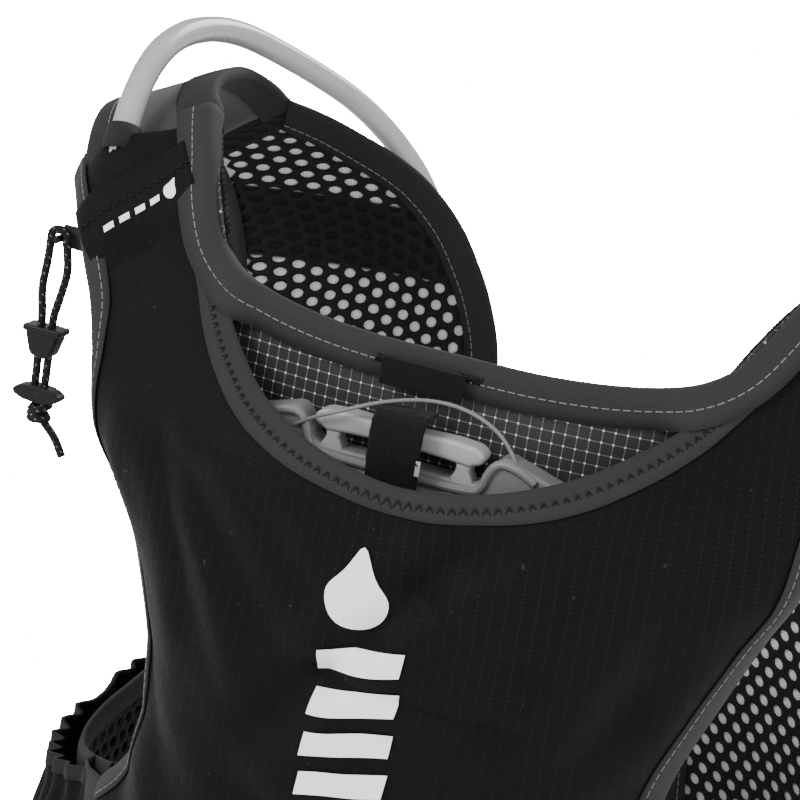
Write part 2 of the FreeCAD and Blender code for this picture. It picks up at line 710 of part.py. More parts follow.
make_back()
make_sides(1, "right")
right_pieces = [piece for piece in SUBPARTS if piece.Label.endswith("_right") and "flap" not in piece.Label]
doc.recompute()
for source in right_pieces:
    twin = doc.addObject("Part::Mirroring", source.Name + "_twin")
    twin.Source = source
    twin.Normal = Vector(1, 0, 0)
    keep(twin, source.Label.replace("_right", "_left"))
make_reservoir()
make_hose()
make_hanger()
make_pole_loop()
for hand, name in HANDS:
    make_rail(hand, name)
make_strap("upper_strap_level", "upper")
make_strap("lower_strap_level", "lower")

# ---------------------------------------------------------------- checks and export
doc.recompute()
faults = [item.Label for item in doc.Objects if "Invalid" in item.State or "Error" in item.State]
faults += [piece.Label for piece in SUBPARTS if piece.Shape.isNull() or not piece.Shape.isValid()]
if faults:
    raise SystemExit(f"these failed: {faults}")
os.makedirs("parts", exist_ok=True)
for piece in SUBPARTS:
    piece.Shape.exportStep(f"parts/{piece.Label}.step")
print(len(SUBPARTS), "sub-parts")
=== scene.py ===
"""The looks of a running hydration vest: cloth, mesh, bindings, cords and moulded parts.

Places are in millimetres in the row frame, and helpers turn them into metres.
"""
import json
import math

import bmesh
import bpy
from mathutils import Matrix, Vector, noise


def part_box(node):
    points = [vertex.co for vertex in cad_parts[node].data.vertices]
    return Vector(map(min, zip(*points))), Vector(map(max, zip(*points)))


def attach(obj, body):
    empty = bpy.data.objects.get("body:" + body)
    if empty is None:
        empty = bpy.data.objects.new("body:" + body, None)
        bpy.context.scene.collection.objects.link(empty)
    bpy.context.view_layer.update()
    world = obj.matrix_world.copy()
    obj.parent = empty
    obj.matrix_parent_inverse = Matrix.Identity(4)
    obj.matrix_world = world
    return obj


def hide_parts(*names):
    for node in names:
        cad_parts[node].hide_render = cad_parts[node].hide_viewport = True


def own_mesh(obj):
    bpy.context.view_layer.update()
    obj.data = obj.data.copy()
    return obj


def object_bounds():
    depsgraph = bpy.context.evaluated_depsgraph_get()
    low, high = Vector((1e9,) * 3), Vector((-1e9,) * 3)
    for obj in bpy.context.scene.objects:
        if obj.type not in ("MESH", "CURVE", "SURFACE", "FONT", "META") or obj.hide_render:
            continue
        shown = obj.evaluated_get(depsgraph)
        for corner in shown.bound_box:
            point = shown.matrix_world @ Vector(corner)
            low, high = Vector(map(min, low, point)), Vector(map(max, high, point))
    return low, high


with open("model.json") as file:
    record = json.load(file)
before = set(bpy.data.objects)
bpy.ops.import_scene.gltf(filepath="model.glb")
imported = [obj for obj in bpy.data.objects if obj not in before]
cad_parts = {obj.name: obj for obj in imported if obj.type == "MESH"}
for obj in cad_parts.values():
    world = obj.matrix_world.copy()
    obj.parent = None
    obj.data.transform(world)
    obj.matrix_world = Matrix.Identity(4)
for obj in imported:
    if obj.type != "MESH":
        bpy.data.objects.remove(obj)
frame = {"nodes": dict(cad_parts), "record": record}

MM = 0.001
CAD_BOX = [list(corner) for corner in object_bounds()]
NODES = frame["nodes"]
HANDS = ((-1, "left"), (1, "right"))

# ---------------------------------------------------------------- the torso that the cloth follows
CHEST, WAIST, SHOULDER = 161.5, 143.0, 215.0
ROUND, HEM = 130.0, -330.0
BACK = {"depth": 98.0, "power": 2.4, "side": -1.0}
FRONT = {"depth": 112.0, "power": 3.0, "side": 1.0}
SHELL_LIFT, POCKET_BULGE = 5.2, 32.5


def smooth(value):
    value = min(max(value, 0.0), 1.0)
    return value * value * (3 - 2 * value)


def lerp(table, value):
    """Straight interpolation in a short table of (key, value) rows, sorted by falling key."""
    if value >= table[0][0]:
        return table[0][1]
    for (k0, v0), (k1, v1) in zip(table, table[1:]):
        if value >= k1:
            return v0 + (v1 - v0) * (value - k0) / (k1 - k0)
    return table[-1][1]


def crest(x):
    return 67.0 - 0.5 * math.hypot(x, 50.0)


def torso_half(z):
    upper, lower = smooth((z + 120.0) / 100.0), smooth((-120.0 - z) / 140.0)
    return CHEST + (SHOULDER - CHEST) * upper + (WAIST - CHEST) * lower


def plan_width(x, z, wall):
    share = min(abs(x) / torso_half(z), 0.999)
    return (1.0 - share ** wall["power"]) ** (1.0 / wall["power"])


def wall_y(x, z, wall):
    drop = min(max(crest(x) - z, 0.0), ROUND) / ROUND
    turn = (1.0 - (1.0 - drop) ** 2.5) ** 0.4
    return wall["side"] * wall["depth"] * turn * plan_width(x, z, wall)


def on_wall(x, z, lift, wall):
    e = 0.5
    y = wall_y(x, z, wall)
    slope_x = (wall_y(x + e, z, wall) - wall_y(x - e, z, wall)) / (2 * e)
    slope_z = (wall_y(x, z + e, wall) - wall_y(x, z - e, wall)) / (2 * e)
    normal = (Vector((-slope_x, 1.0, -slope_z)) * wall["side"]).normalized()
    return Vector((x, y, z)) + normal * lift


def back(x, z, lift):
    return on_wall(x, z, lift, BACK)


def front(x, z, lift):
    return on_wall(x, z, lift, FRONT)


def shoulder_z(x, y):
    wall = FRONT if y > 0 else BACK
    z = crest(x)
    for _ in range(6):
        share = min(abs(y) / (wall["depth"] * plan_width(x, z, wall)), 0.98)
        z = crest(x) - ROUND * (1.0 - (1.0 - share ** 2.5) ** 0.4)
    return z


def shoulder(x, y, lift):
    e = 0.5
    slope_x = (shoulder_z(x + e, y) - shoulder_z(x - e, y)) / (2 * e)
    slope_y = (shoulder_z(x, y + e) - shoulder_z(x, y - e)) / (2 * e)
    return Vector((x, y, shoulder_z(x, y))) + Vector((-slope_x, -slope_y, 1.0)).normalized() * lift


def side(turn, z, lift, hand):
    """A point round the flank: turn 0 is the middle of the back, 90 the side, 180 the chest."""
    def base(angle):
        wall = BACK if angle < 90 else FRONT
        s, c = abs(math.sin(math.radians(angle))), abs(math.cos(math.radians(angle)))
        x = torso_half(z) * s ** (2.0 / wall["power"])
        return Vector((hand * x, wall["side"] * wall["depth"] * c ** (2.0 / wall["power"]), z))
    tangent = base(turn + 0.5) - base(turn - 0.5)
    normal = (Vector((tangent.y, -tangent.x, 0)) * hand).normalized()
    return base(turn) + normal * lift


# ---------------------------------------------------------------- outlines
NECK = [(0, -55), (30, -55), (55, -53), (74, -49), (86, -42), (94, -31), (101, -18), (109, -7)]
ARM = [(153, -40), (137, -51), (125, -66), (119, -82), (114, -106), (103, -141), (91, -175), (88, -200),
       (93, -224), (106, -242)]
MOUTH = [(0, -90), (22, -87), (39, -82), (52, -76.5), (63, -70), (71, -64.5), (78, -58.5), (84, -51.5),
         (88, -46), (91, -41)]
RUN = [(91, -41), (100, -30), (113, -14), (153, -41)]
EDGE = [(z, x) for x, z in ARM] + [(HEM, 106)]
STRAP_NECK = [(62, 132), (56, 133), (35, 134), (5, 130), (-20, 125), (-38, 118), (-50, 110), (-60, 108)]
STRAP_ARM = [(62, 168), (56, 170), (30, 174), (0, 173), (-25, 167), (-50, 156), (-60, 150)]
CHEST_NECK = [(132, -19), (121, -24), (108, -31), (95, -38), (84, -46), (71, -60), (61, -76),
              (54, -90), (48, -108), (46, -130), (46, -200), (50, -250), (60, -330)]
CHEST_ARM = [(170, -45), (163, -66), (155, -95), (146, -130), (140, -170), (136, -205),
             (134, -238), (134, -330)]


def pocket_lift(x, z):
    """How far the back pocket's cloth stands off the torso."""
    across = 1.0 - min(abs(x) / lerp(EDGE, z), 1.0) ** 4
    up = smooth((-50.0 - z) / 46.0)
    down = 1.0 - min(max((-150.0 - z) / 184.0, 0.0), 1.0) ** 3
    hose_x = lerp([(-20, 137), (-50, 130), (-68, 124), (-92, 112), (-115, 100), (-140, 90)], z)
    channel = 11.0 * math.exp(-((abs(x) - hose_x) / 17.0) ** 2) * smooth((z + 150.0) / 50.0)
    return SHELL_LIFT + POCKET_BULGE * across * up * down + channel


def curve_through(points, count):
    """Evenly spaced points on a smooth curve through a run of points of any dimension."""
    def at(i, t):
        a, b, c, d = (points[min(max(i + k, 0), len(points) - 1)] for k in (-1, 0, 1, 2))
        return [0.5 * (2 * q + (r - p) * t + (2 * p - 5 * q + 4 * r - s) * t * t
                       + (3 * q - p - 3 * r + s) * t ** 3) for p, q, r, s in zip(a, b, c, d)]
    dense = [at(i, k / 12) for i in range(len(points) - 1) for k in range(12)] + [list(points[-1])]
    return spread(dense, count)


def run_lengths(points):
    lengths = [0.0]
    for a, b in zip(points, points[1:]):
        lengths.append(lengths[-1] + math.dist(a, b))
    return lengths


def spread(points, count, lengths=None):
    """Points at even distances along a polyline, by its own running lengths or by those given."""
    lengths = lengths or run_lengths(points)
    found, j = [], 0
    for k in range(count):
        want = lengths[-1] * k / (count - 1)
        while j < len(points) - 2 and lengths[j + 1] < want:
            j += 1
        t = (want - lengths[j]) / max(lengths[j + 1] - lengths[j], 1e-9)
        found.append([p + t * (q - p) for p, q in zip(points[j], points[j + 1])])
    return found


def mirrored(points):
    return [(-a, b) for a, b in points]


def both_sides(points):
    return mirrored(points[:0:-1]) + list(points)


# ---------------------------------------------------------------- meshes
BEVEL_ANGLE, SHARP_ANGLE = 28, 35


def stand_in(node):
    """Hides the CAD node that a piece is shown in place of."""
    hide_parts(node)


def add_mesh(name, verts, faces, look, body="vest", uvs=None, merge=0.0):
    """A smooth-shaded mesh piece. verts in mm, uvs in mm, one per vertex."""
    mesh = bpy.data.meshes.new(name)
    mesh.from_pydata([Vector(v) * MM for v in verts], [], faces)
    if uvs:
        layer = mesh.uv_layers.new(name="lay")
        for loop in mesh.loops:
            u, v = uvs[loop.vertex_index]
            layer.data[loop.index].uv = (u * MM, v * MM)
    work = bmesh.new()
    work.from_mesh(mesh)
    if merge:
        bmesh.ops.remove_doubles(work, verts=work.verts, dist=merge * MM)
    bmesh.ops.recalc_face_normals(work, faces=work.faces)
    work.to_mesh(mesh)
    work.free()
    mesh.shade_smooth()
    obj = bpy.data.objects.new(name, mesh)
    bpy.context.scene.collection.objects.link(obj)
    mesh.materials.append(LOOK[look])
    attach(obj, body)
    return obj


def grid_faces(rows, cols, closed=False):
    """Quads over a grid of rows by cols; closed joins each row's end to its start."""
    faces = []
    for i in range(rows - 1):
        for j in range(cols if closed else cols - 1):
            k = (j + 1) % cols
            faces.append((i * cols + j, i * cols + k, (i + 1) * cols + k, (i + 1) * cols + j))
    return faces


def skin(name, grid, look, body="vest", thick=0.0, uvs=None):
    """A sheet over a grid of points; thick gives it that thickness, half on each side."""
    rows, cols = len(grid), len(grid[0])
    if uvs is None:
        uvs = grid_lengths(grid)
    obj = add_mesh(name, [p for row in grid for p in row], grid_faces(rows, cols), look, body,
                   [q for row in uvs for q in row])
    if thick:
        thicken(obj, thick)
    return obj


def thicken(obj, thick):
    solid = obj.modifiers.new("thickness", "SOLIDIFY")
    solid.thickness = thick * MM
    solid.offset = 0.0


def closed_shell(name, outer, inner, look, uvs=None):
    """A closed piece on the vest between two grids of points of the same size."""
    rows, cols = len(outer), len(outer[0])
    count, quads = rows * cols, grid_faces(rows, cols)
    faces = quads + [tuple(i + count for i in quad[::-1]) for quad in quads]
    rim = list(range(cols)) + [i * cols + cols - 1 for i in range(1, rows)]
    rim += [(rows - 1) * cols + j for j in range(cols - 2, -1, -1)]
    rim += [i * cols for i in range(rows - 2, 0, -1)]
    faces += [(a, b, b + count, a + count) for a, b in zip(rim, rim[1:] + rim[:1])]
    return add_mesh(name, [p for grid in (outer, inner) for row in grid for p in row], faces, look, "vest",
                    uvs)


def grid_lengths(grid):
    """Lengths along the middle row and the middle column, as flat coordinates."""
    rows, cols = len(grid), len(grid[0])
    down, across = [0.0], [0.0]
    for i in range(1, rows):
        down.append(down[-1] + math.dist(grid[i][cols // 2], grid[i - 1][cols // 2]))
    for j in range(1, cols):
        across.append(across[-1] + math.dist(grid[rows // 2][j], grid[rows // 2][j - 1]))
    return [[(across[j], down[i]) for j in range(cols)] for i in range(rows)]


def tube(points, radius, sides):
    """Vertices and faces of a closed tube along points."""
    verts, normal = [], None
    for i, p in enumerate(points):
        p = Vector(p)
        ahead = Vector(points[min(i + 1, len(points) - 1)]) - Vector(points[max(i - 1, 0)])
        ahead.normalize()
        if normal is None:
            normal = ahead.orthogonal().normalized()
        normal = (normal - ahead * normal.dot(ahead)).normalized()
        other = ahead.cross(normal)
        for k in range(sides):
            angle = 2 * math.pi * k / sides
            verts.append(p + (normal * math.cos(angle) + other * math.sin(angle)) * radius)
    faces = grid_faces(len(points), sides, closed=True)
    faces.append(tuple(range(sides))[::-1])
    faces.append(tuple(range(len(verts) - sides, len(verts))))
    return verts, faces


def tubes(name, runs, radius, look, body="vest", sides=6):
    """One piece made of many short tubes, such as a row of stitches."""
    verts, faces = [], []
    for run in runs:
        more, quads = tube(run, radius, sides)
        faces += [tuple(i + len(verts) for i in quad) for quad in quads]
        verts += more
    return add_mesh(name, verts, faces, look, body)


def block(name, outline, low, high, look, body, rounding, steps=3):
    """A rounded solid: an outline in x and z pushed from low to high along y."""
    count = len(outline)
    verts = [(x, level, z) for level in (low, high) for x, z in outline]
    faces = [tuple(range(count))[::-1], tuple(range(count, 2 * count))]
    faces += [(i, (i + 1) % count, count + (i + 1) % count, count + i) for i in range(count)]
    obj = add_mesh(name, verts, faces, look, body)
    bevel = obj.modifiers.new("rounding", "BEVEL")
    bevel.width = rounding * MM
    bevel.segments = steps
    bevel.limit_method = "ANGLE"
    bevel.angle_limit = math.radians(BEVEL_ANGLE)
    weighted = obj.modifiers.new("shading", "WEIGHTED_NORMAL")
    weighted.keep_sharp = False
    return obj


def oval(cx, cy, rx, ry, count=20):
    return [(cx + rx * math.cos(2 * math.pi * i / count), cy + ry * math.sin(2 * math.pi * i / count))
            for i in range(count)]


def rectangle(x0, z0, x1, z1):
    return [(x0, z0), (x1, z0), (x1, z1), (x0, z1)]


def join_into(target, others):
    """Joins pieces of one body into one, with their modifiers applied."""
    bpy.context.view_layer.update()
    graph = bpy.context.evaluated_depsgraph_get()
    whole = bmesh.new()
    for obj in [target] + others:
        made = bpy.data.meshes.new_from_object(obj.evaluated_get(graph), depsgraph=graph)
        whole.from_mesh(made)
    mesh = bpy.data.meshes.new(target.name)
    whole.to_mesh(mesh)
    whole.free()
    mesh.materials.append(target.data.materials[0])
    mesh.shade_smooth()
    mesh.set_sharp_from_angle(angle=math.radians(SHARP_ANGLE))
    target.modifiers.clear()
    target.data = mesh
    for obj in others:
        bpy.data.objects.remove(obj)


# ---------------------------------------------------------------- materials
class Cloth:
    """Builds one node material; each method adds nodes and returns the socket it made."""

    def __init__(self, name, colour, roughness, **sockets):
        self.material = bpy.data.materials.new(name)
        self.material.use_nodes = True
        self.tree = self.material.node_tree
        self.tree.nodes.clear()
        out = self.tree.nodes.new("ShaderNodeOutputMaterial")
        self.shader = self.tree.nodes.new("ShaderNodeBsdfPrincipled")
        self.tree.links.new(self.shader.outputs[0], out.inputs[0])
        self.set("Base Color", (*colour, 1.0))
        self.set("Roughness", roughness)
        for key, value in sockets.items():
            self.set(key.replace("_", " "), value)
        self.relief = None

    def set(self, key, value):
        socket = self.shader.inputs[key]
        if isinstance(value, bpy.types.NodeSocket):
            self.tree.links.new(value, socket)
        else:
            socket.default_value = value

    def node(self, kind, inputs=(), **settings):
        made = self.tree.nodes.new(kind)
        for key, value in settings.items():
            setattr(made, key, value)
        for key, value in dict(inputs).items():
            if isinstance(value, bpy.types.NodeSocket):
                self.tree.links.new(value, made.inputs[key])
            else:
                made.inputs[key].default_value = value
        return made

    def maths(self, operation, a, b=0.0, c=0.0):
        return self.node("ShaderNodeMath", {0: a, 1: b, 2: c}, operation=operation).outputs[0]

    def times(self, a, b):
        return self.maths("MULTIPLY", a, b)

    def plus(self, a, b):
        return self.maths("ADD", a, b)

    def place(self, source="UV"):
        """Separate coordinates in millimetres."""
        raw = self.node("ShaderNodeTexCoord").outputs[source]
        scaled = self.node("ShaderNodeVectorMath", {0: raw, 3: 1000.0}, operation="SCALE").outputs[0]
        return self.node("ShaderNodeSeparateXYZ", {0: scaled}).outputs

    def lines(self, along, pitch, width, soft=0.35):
        """1 on lines a pitch apart, 0 between them."""
        cell = self.maths("FRACT", self.maths("DIVIDE", along, pitch))
        off = self.maths("MULTIPLY", self.maths("ABSOLUTE", self.maths("SUBTRACT", cell, 0.5)), pitch)
        return self.ramp(off, width / 2 * (1 - soft), width / 2 * (1 + soft), 1.0, 0.0)

    def ramp(self, value, low, high, at_low=0.0, at_high=1.0):
        return self.node("ShaderNodeMapRange", {0: value, 1: low, 2: high, 3: at_low, 4: at_high},
                         interpolation_type="SMOOTHSTEP").outputs[0]

    def noise(self, scale, detail=3.0, stretch=(1, 1, 1)):
        """Smooth noise whose scale is in cycles per metre."""
        raw = self.node("ShaderNodeTexCoord").outputs["Object"]
        shaped = self.node("ShaderNodeMapping", {"Vector": raw, "Scale": stretch}).outputs[0]
        return self.node("ShaderNodeTexNoise", {"Vector": shaped, "Scale": scale, "Detail": detail}
                         ).outputs["Fac"]

    def mix(self, factor, low, high):
        """A colour between two others."""
        mixer = self.node("ShaderNodeMix", {0: factor}, data_type="RGBA")
        for index, colour in ((6, low), (7, high)):
            if isinstance(colour, bpy.types.NodeSocket):
                self.tree.links.new(colour, mixer.inputs[index])
            else:
                mixer.inputs[index].default_value = (*colour, 1.0)
        return mixer.outputs[2]

    def tones(self, factor, low, high):
        """A grey between two levels."""
        return self.mix(factor, shade(low), shade(high))

    def bump(self, height, distance, strength=1.0):
        inputs = {"Height": height, "Distance": distance * MM, "Strength": strength}
        if self.relief is not None:
            inputs["Normal"] = self.relief
        self.relief = self.node("ShaderNodeBump", inputs).outputs[0]
        self.set("Normal", self.relief)


BLUE_TINT = 1.02
DARK_LEVEL, DARK_GLOSS, PALE_GLOSS, FLOW_TONE = 0.05, 0.15, 0.4, 0.1


def shade(level):
    return (level, level, level * BLUE_TINT)


def staggered(c, x, y, pitch, width, soft=0.35):
    """1 on dots in rows a pitch apart and on a second set half a pitch away."""
    sets = [c.times(c.lines(x, pitch, width, soft), c.lines(y, pitch, width, soft))]
    sets.append(c.times(c.lines(c.plus(x, pitch / 2), pitch, width, soft),
                        c.lines(c.plus(y, pitch / 2), pitch, width, soft)))
    return c.maths("MAXIMUM", *sets)


def shell_cloth():
    """Black stretch ripstop: dotted ripstop columns, fine weave, faint creases and flecks."""
    c = Cloth("shell_ripstop", shade(0.004), 0.62, Specular_IOR_Level=0.07, Sheen_Weight=0.01)
    x, y, _ = c.place()
    column = c.lines(x, 4.0, 0.34)
    dots = c.lines(y, 1.5, 0.7)
    rows = c.lines(y, 4.5, 0.3)
    grain = c.noise(900, 4)
    fleck = c.ramp(c.noise(260, 2), 0.735, 0.76)
    drift = c.ramp(c.noise(14, 3), 0.3, 0.7, 0.4, 1.0)
    ripstop = c.maths("MAXIMUM", c.times(column, dots), c.times(rows, 0.25))
    worn = c.times(ripstop, drift)
    base = c.tones(grain, 0.0025, 0.005)
    base = c.mix(c.times(worn, 0.5), base, shade(0.022))
    c.set("Base Color", c.mix(c.times(fleck, 0.3), base, shade(0.05)))
    weave = c.plus(c.lines(x, 0.5, 0.25), c.lines(y, 0.5, 0.25))
    c.bump(weave, 0.03, 0.6)
    c.bump(ripstop, 0.08, 0.8)
    c.bump(c.noise(120, 3), 0.25, 0.5)
    c.set("Roughness", c.ramp(grain, 0.2, 0.8, 0.52, 0.72))
    return c.material


def liner_cloth():
    """Dark grey coated ripstop with a bright fine grid and a lighter knot at each crossing."""
    c = Cloth("liner_ripstop", shade(0.03), 0.5, Specular_IOR_Level=0.2)
    x, y, _ = c.place()
    across, along = c.lines(x, 3.8, 0.3), c.lines(y, 3.8, 0.3)
    wide_a, wide_b = c.lines(x, 3.8, 0.62), c.lines(y, 3.8, 0.62)
    dots = c.lines(c.plus(x, y), 0.9, 0.5)
    broken = c.plus(0.45, c.times(dots, 0.55))
    grid = c.times(c.maths("MAXIMUM", across, along), broken)
    knot = c.times(wide_a, wide_b)
    tone = c.noise(30, 3)
    base = c.tones(tone, 0.016, 0.036)
    base = c.mix(c.times(grid, 0.75), base, shade(0.2))
    c.set("Base Color", c.mix(knot, base, shade(0.62)))
    c.bump(c.plus(grid, knot), 0.1, 0.7)
    c.bump(c.noise(90, 3), 0.5, 0.5)
    return c.material


def binding_cloth(name, level, speckle):
    """Woven stretch tape: fine ribs across and speckled yarn."""
    c = Cloth(name, shade(level), 0.72, Specular_IOR_Level=0.1, Sheen_Weight=0.02)
    x, y, _ = c.place()
    ribs = c.lines(y, 0.62, 0.3)
    cross = c.lines(x, 0.7, 0.34)
    grain = c.noise(1500, 3)
    tone = c.noise(45, 3)
    base = c.tones(grain, level * 0.75, level * 1.2)
    base = c.mix(c.times(tone, 0.5), base, shade(level * 1.1))
    yarn = c.times(ribs, cross)
    c.set("Base Color", c.mix(c.times(yarn, speckle), base, shade(level * 1.5)))
    c.bump(yarn, 0.08, 0.8)
    c.bump(grain, 0.05, 0.6)
    c.bump(c.noise(70, 3), 0.35, 0.6)
    return c.material


def strap_cloth():
    """Smooth stretch knit over the shoulder padding."""
    c = Cloth("strap_knit", shade(0.03), 0.66, Specular_IOR_Level=0.2, Sheen_Weight=0.08)
    x, y, _ = c.place()
    wale = c.lines(x, 0.8, 0.4)
    course = c.lines(c.plus(y, c.times(wale, 0.3)), 0.9, 0.45)
    tone = c.noise(60, 4)
    base = c.tones(tone, 0.02, 0.04)
    knit = c.times(wale, course)
    c.set("Base Color", c.mix(c.times(knit, 0.5), base, shade(0.075)))
    c.bump(knit, 0.08, 0.7)
    c.bump(tone, 0.6, 0.4)
    return c.material


def spacer_cloth():
    """Dark spacer mesh: rows of small dimples over a knitted face, with painted shade darkening the dimples.
    """
    c = Cloth("spacer_knit", shade(0.015), 0.8, Specular_IOR_Level=0.12)
    x, y, _ = c.place()
    holes = staggered(c, x, y, 3.0, 1.7, 0.5)
    grain = c.noise(1300, 3)
    base = c.tones(grain, 0.01, 0.024)
    # painted shade: the dimples, which the bump sinks, are coloured darker than the face
    c.set("Base Color", c.mix(holes, base, shade(0.004)))
    c.bump(holes, -0.5, 0.9)
    c.bump(grain, 0.08, 0.6)
    return c.material


def knit_black():
    """The black knit of the open mesh, with a fine rib that runs down it."""
    c = Cloth("open_mesh_knit", shade(0.006), 0.7, Specular_IOR_Level=0.12, Sheen_Weight=0.03)
    x, y, _ = c.place()
    rib = c.lines(x, 0.7, 0.35)
    grain = c.noise(1400, 3)
    c.set("Base Color", c.tones(grain, 0.004, 0.011))
    c.bump(c.times(rib, c.lines(y, 0.9, 0.5)), 0.08, 0.7)
    return c.material


def net_cloth():
    """A pale fine net with a dark band where a black patch backs it."""
    c = Cloth("pale_net", shade(0.5), 0.75, Specular_IOR_Level=0.2)
    z = c.place("Object")[2]
    s, t, _ = c.place()
    dots = staggered(c, s, t, 1.1, 0.5)
    patch = c.times(c.ramp(z, NET_BAND[0] - 1, NET_BAND[0] + 1),
                    c.ramp(z, NET_BAND[1] - 1, NET_BAND[1] + 1, 1.0, 0.0))
    pale = c.tones(dots, 0.9, 0.3)
    c.set("Base Color", c.mix(patch, pale, shade(0.006)))
    c.bump(dots, 0.1, 0.6)
    return c.material


def plastic(name, level, roughness, coat=0.0):
    """Moulded plastic with a fine spark texture, slight flow marks and scuffed tone."""
    c = Cloth(name, shade(level), roughness, Coat_Weight=coat, Coat_Roughness=0.3,
              Specular_IOR_Level=DARK_GLOSS if level < DARK_LEVEL else PALE_GLOSS)
    spark = c.noise(2600, 2)
    flow = c.noise(35, 4, stretch=(1, 1, 3))
    base = c.mix(flow, shade(level * (1 - FLOW_TONE)), shade(level * (1 + FLOW_TONE)))
    scuffs = c.ramp(c.noise(600, 4), 0.62, 0.75)
    c.set("Base Color", c.mix(scuffs, base, shade(min(level * 1.35 + 0.01, 0.9))))
    c.set("Roughness", c.ramp(flow, 0.3, 0.7, roughness - 0.06, roughness + 0.08))
    c.bump(spark, 0.03, 0.5)
    c.bump(flow, 0.2, 0.15)
    return c.material


def pile_cloth():
    """Loop tape: short black pile with loose lighter fibres."""
    c = Cloth("loop_pile", shade(0.006), 0.95, Specular_IOR_Level=0.05, Sheen_Weight=0.06)
    curl = c.noise(3600, 5)
    tuft = c.noise(1400, 3)
    base = c.tones(curl, 0.002, 0.012)
    c.set("Base Color", c.mix(c.ramp(c.noise(2600, 6), 0.66, 0.76), base, shade(0.07)))
    c.bump(curl, 0.25, 1.0)
    c.bump(tuft, 0.35, 0.8)
    return c.material


def web_cloth():
    """Flat woven webbing with a rib every millimetre."""
    c = Cloth("webbing", shade(0.02), 0.72, Specular_IOR_Level=0.2)
    x, _, z = c.place("Object")
    ribs = c.lines(c.plus(x, z), 1.0, 0.5)
    weft = c.lines(c.maths("SUBTRACT", z, x), 1.0, 0.5)
    grain = c.noise(1200, 3)
    base = c.tones(grain, 0.012, 0.03)
    c.set("Base Color", c.mix(c.times(ribs, weft), base, shade(0.05)))
    c.bump(c.times(ribs, weft), 0.2, 0.8)
    return c.material


def cord_cloth():
    """A braided sheath: black with pairs of pale tracer yarns."""
    c = Cloth("cord_braid", shade(0.008), 0.75, Specular_IOR_Level=0.15)
    x, y, z = c.place("Object")
    lean_a = c.plus(z, c.times(c.plus(x, y), 0.8))
    lean_b = c.maths("SUBTRACT", z, c.times(c.maths("SUBTRACT", x, y), 0.8))
    braid = c.maths("MAXIMUM", c.lines(lean_a, 0.9, 0.4), c.lines(lean_b, 0.9, 0.4))
    fleck = c.times(c.lines(lean_a, 3.6, 0.7), c.lines(lean_b, 2.6, 0.9))
    base = c.tones(braid, 0.003, 0.015)
    c.set("Base Color", c.mix(c.times(fleck, 0.6), base, shade(0.3)))
    c.bump(braid, 0.25, 0.9)
    return c.material


def hose_film():
    """Milky soft tube, with painted shade: its colour darkens towards the edges that are seen edge-on and
    stays bright face on.
    """
    c = Cloth("hose_film", shade(0.5), 0.24, Transmission_Weight=0.35, IOR=1.4, Coat_Weight=0.5,
              Coat_Roughness=0.12)
    haze = c.noise(25, 3)
    facing = c.node("ShaderNodeLayerWeight", {0: 0.35}).outputs["Facing"]
    body = c.tones(haze, 0.50, 0.60)
    # painted shade: the colour is mixed towards dark grey as the surface turns edge-on to the camera
    c.set("Base Color", c.mix(c.times(facing, 0.75), body, shade(0.16)))
    c.bump(c.noise(300, 2), 0.02, 0.4)
    c.set("Roughness", c.ramp(haze, 0.3, 0.7, 0.2, 0.34))
    return c.material


def soft_film(name, level, roughness):
    c = Cloth(name, shade(level), roughness, Coat_Weight=0.3, Coat_Roughness=0.25)
    crease = c.noise(40, 5)
    # painted shade and light: the colour follows the crease relief, darker in its hollows and lighter on its
    # ridges
    base = c.mix(crease, shade(level * 0.8), shade(min(level * 1.15, 0.9)))
    c.set("Base Color", base)
    c.set("Roughness", c.ramp(crease, 0.3, 0.7, roughness, roughness + 0.15))
    c.bump(crease, 1.2, 0.6)
    return c.material


def thread(name, level):
    c = Cloth(name, shade(level), 0.6, Specular_IOR_Level=0.2)
    twist = c.noise(2500, 2)
    c.set("Base Color", c.mix(twist, shade(level * 0.6), shade(min(level * 1.4, 0.95))))
    c.bump(twist, 0.05, 0.8)
    return c.material


def print_ink():
    """White heat-transfer print that has taken a little of the cloth's weave."""
    c = Cloth("white_print", shade(0.82), 0.5)
    grain = c.noise(1200, 3)
    c.set("Base Color", c.tones(grain, 0.84, 0.95))
    c.bump(grain, 0.04, 0.6)
    return c.material


NET_BAND = (-86.0, -57.0)
LOOK = {
    "shell": shell_cloth(),
    "liner": liner_cloth(),
    "grey_tape": binding_cloth("grey_binding_weave", 0.024, 0.4),
    "dark_tape": binding_cloth("dark_binding_weave", 0.017, 0.3),
    "strap": strap_cloth(),
    "spacer": spacer_cloth(),
    "knit": knit_black(),
    "net": net_cloth(),
    "slide": plastic("slide_moulding", 0.15, 0.42),
    "handle": plastic("handle_moulding", 0.3, 0.4),
    "port": plastic("port_moulding", 0.06, 0.35, coat=0.2),
    "black": plastic("black_moulding", 0.008, 0.38),
    "valve": plastic("valve_moulding", 0.09, 0.36),
    "rubber": soft_film("seal_rubber", 0.03, 0.6),
    "silicone": soft_film("bite_silicone", 0.38, 0.4),
    "bladder": soft_film("reservoir_film", 0.42, 0.28),
    "pile": pile_cloth(),
    "web": web_cloth(),
    "braid": cord_cloth(),
    "hose": hose_film(),
    "black_thread": thread("black_thread", 0.004),
    "grey_thread": thread("grey_thread", 0.16),
    "label": thread("pale_label", 0.3),
    "ink": print_ink(),
}
SLOT_LOOK = {
    "spacer_mesh": "spacer", "ripstop_liner": "liner", "stretch_shell": "shell",
    "grey_binding": "grey_tape", "dark_binding": "dark_tape", "strap_padding": "strap",
    "open_mesh": "knit", "reservoir_film": "bladder", "slide_plastic": "slide",
    "handle_plastic": "handle", "port_plastic": "port", "seal_rubber": "rubber",
    "hose_film": "hose", "elastic_keeper": "dark_tape", "valve_plastic": "valve",
    "bite_silicone": "silicone", "hook_and_loop": "pile", "cord_cloth": "braid",
    "black_plastic": "black", "webbing": "web",
}


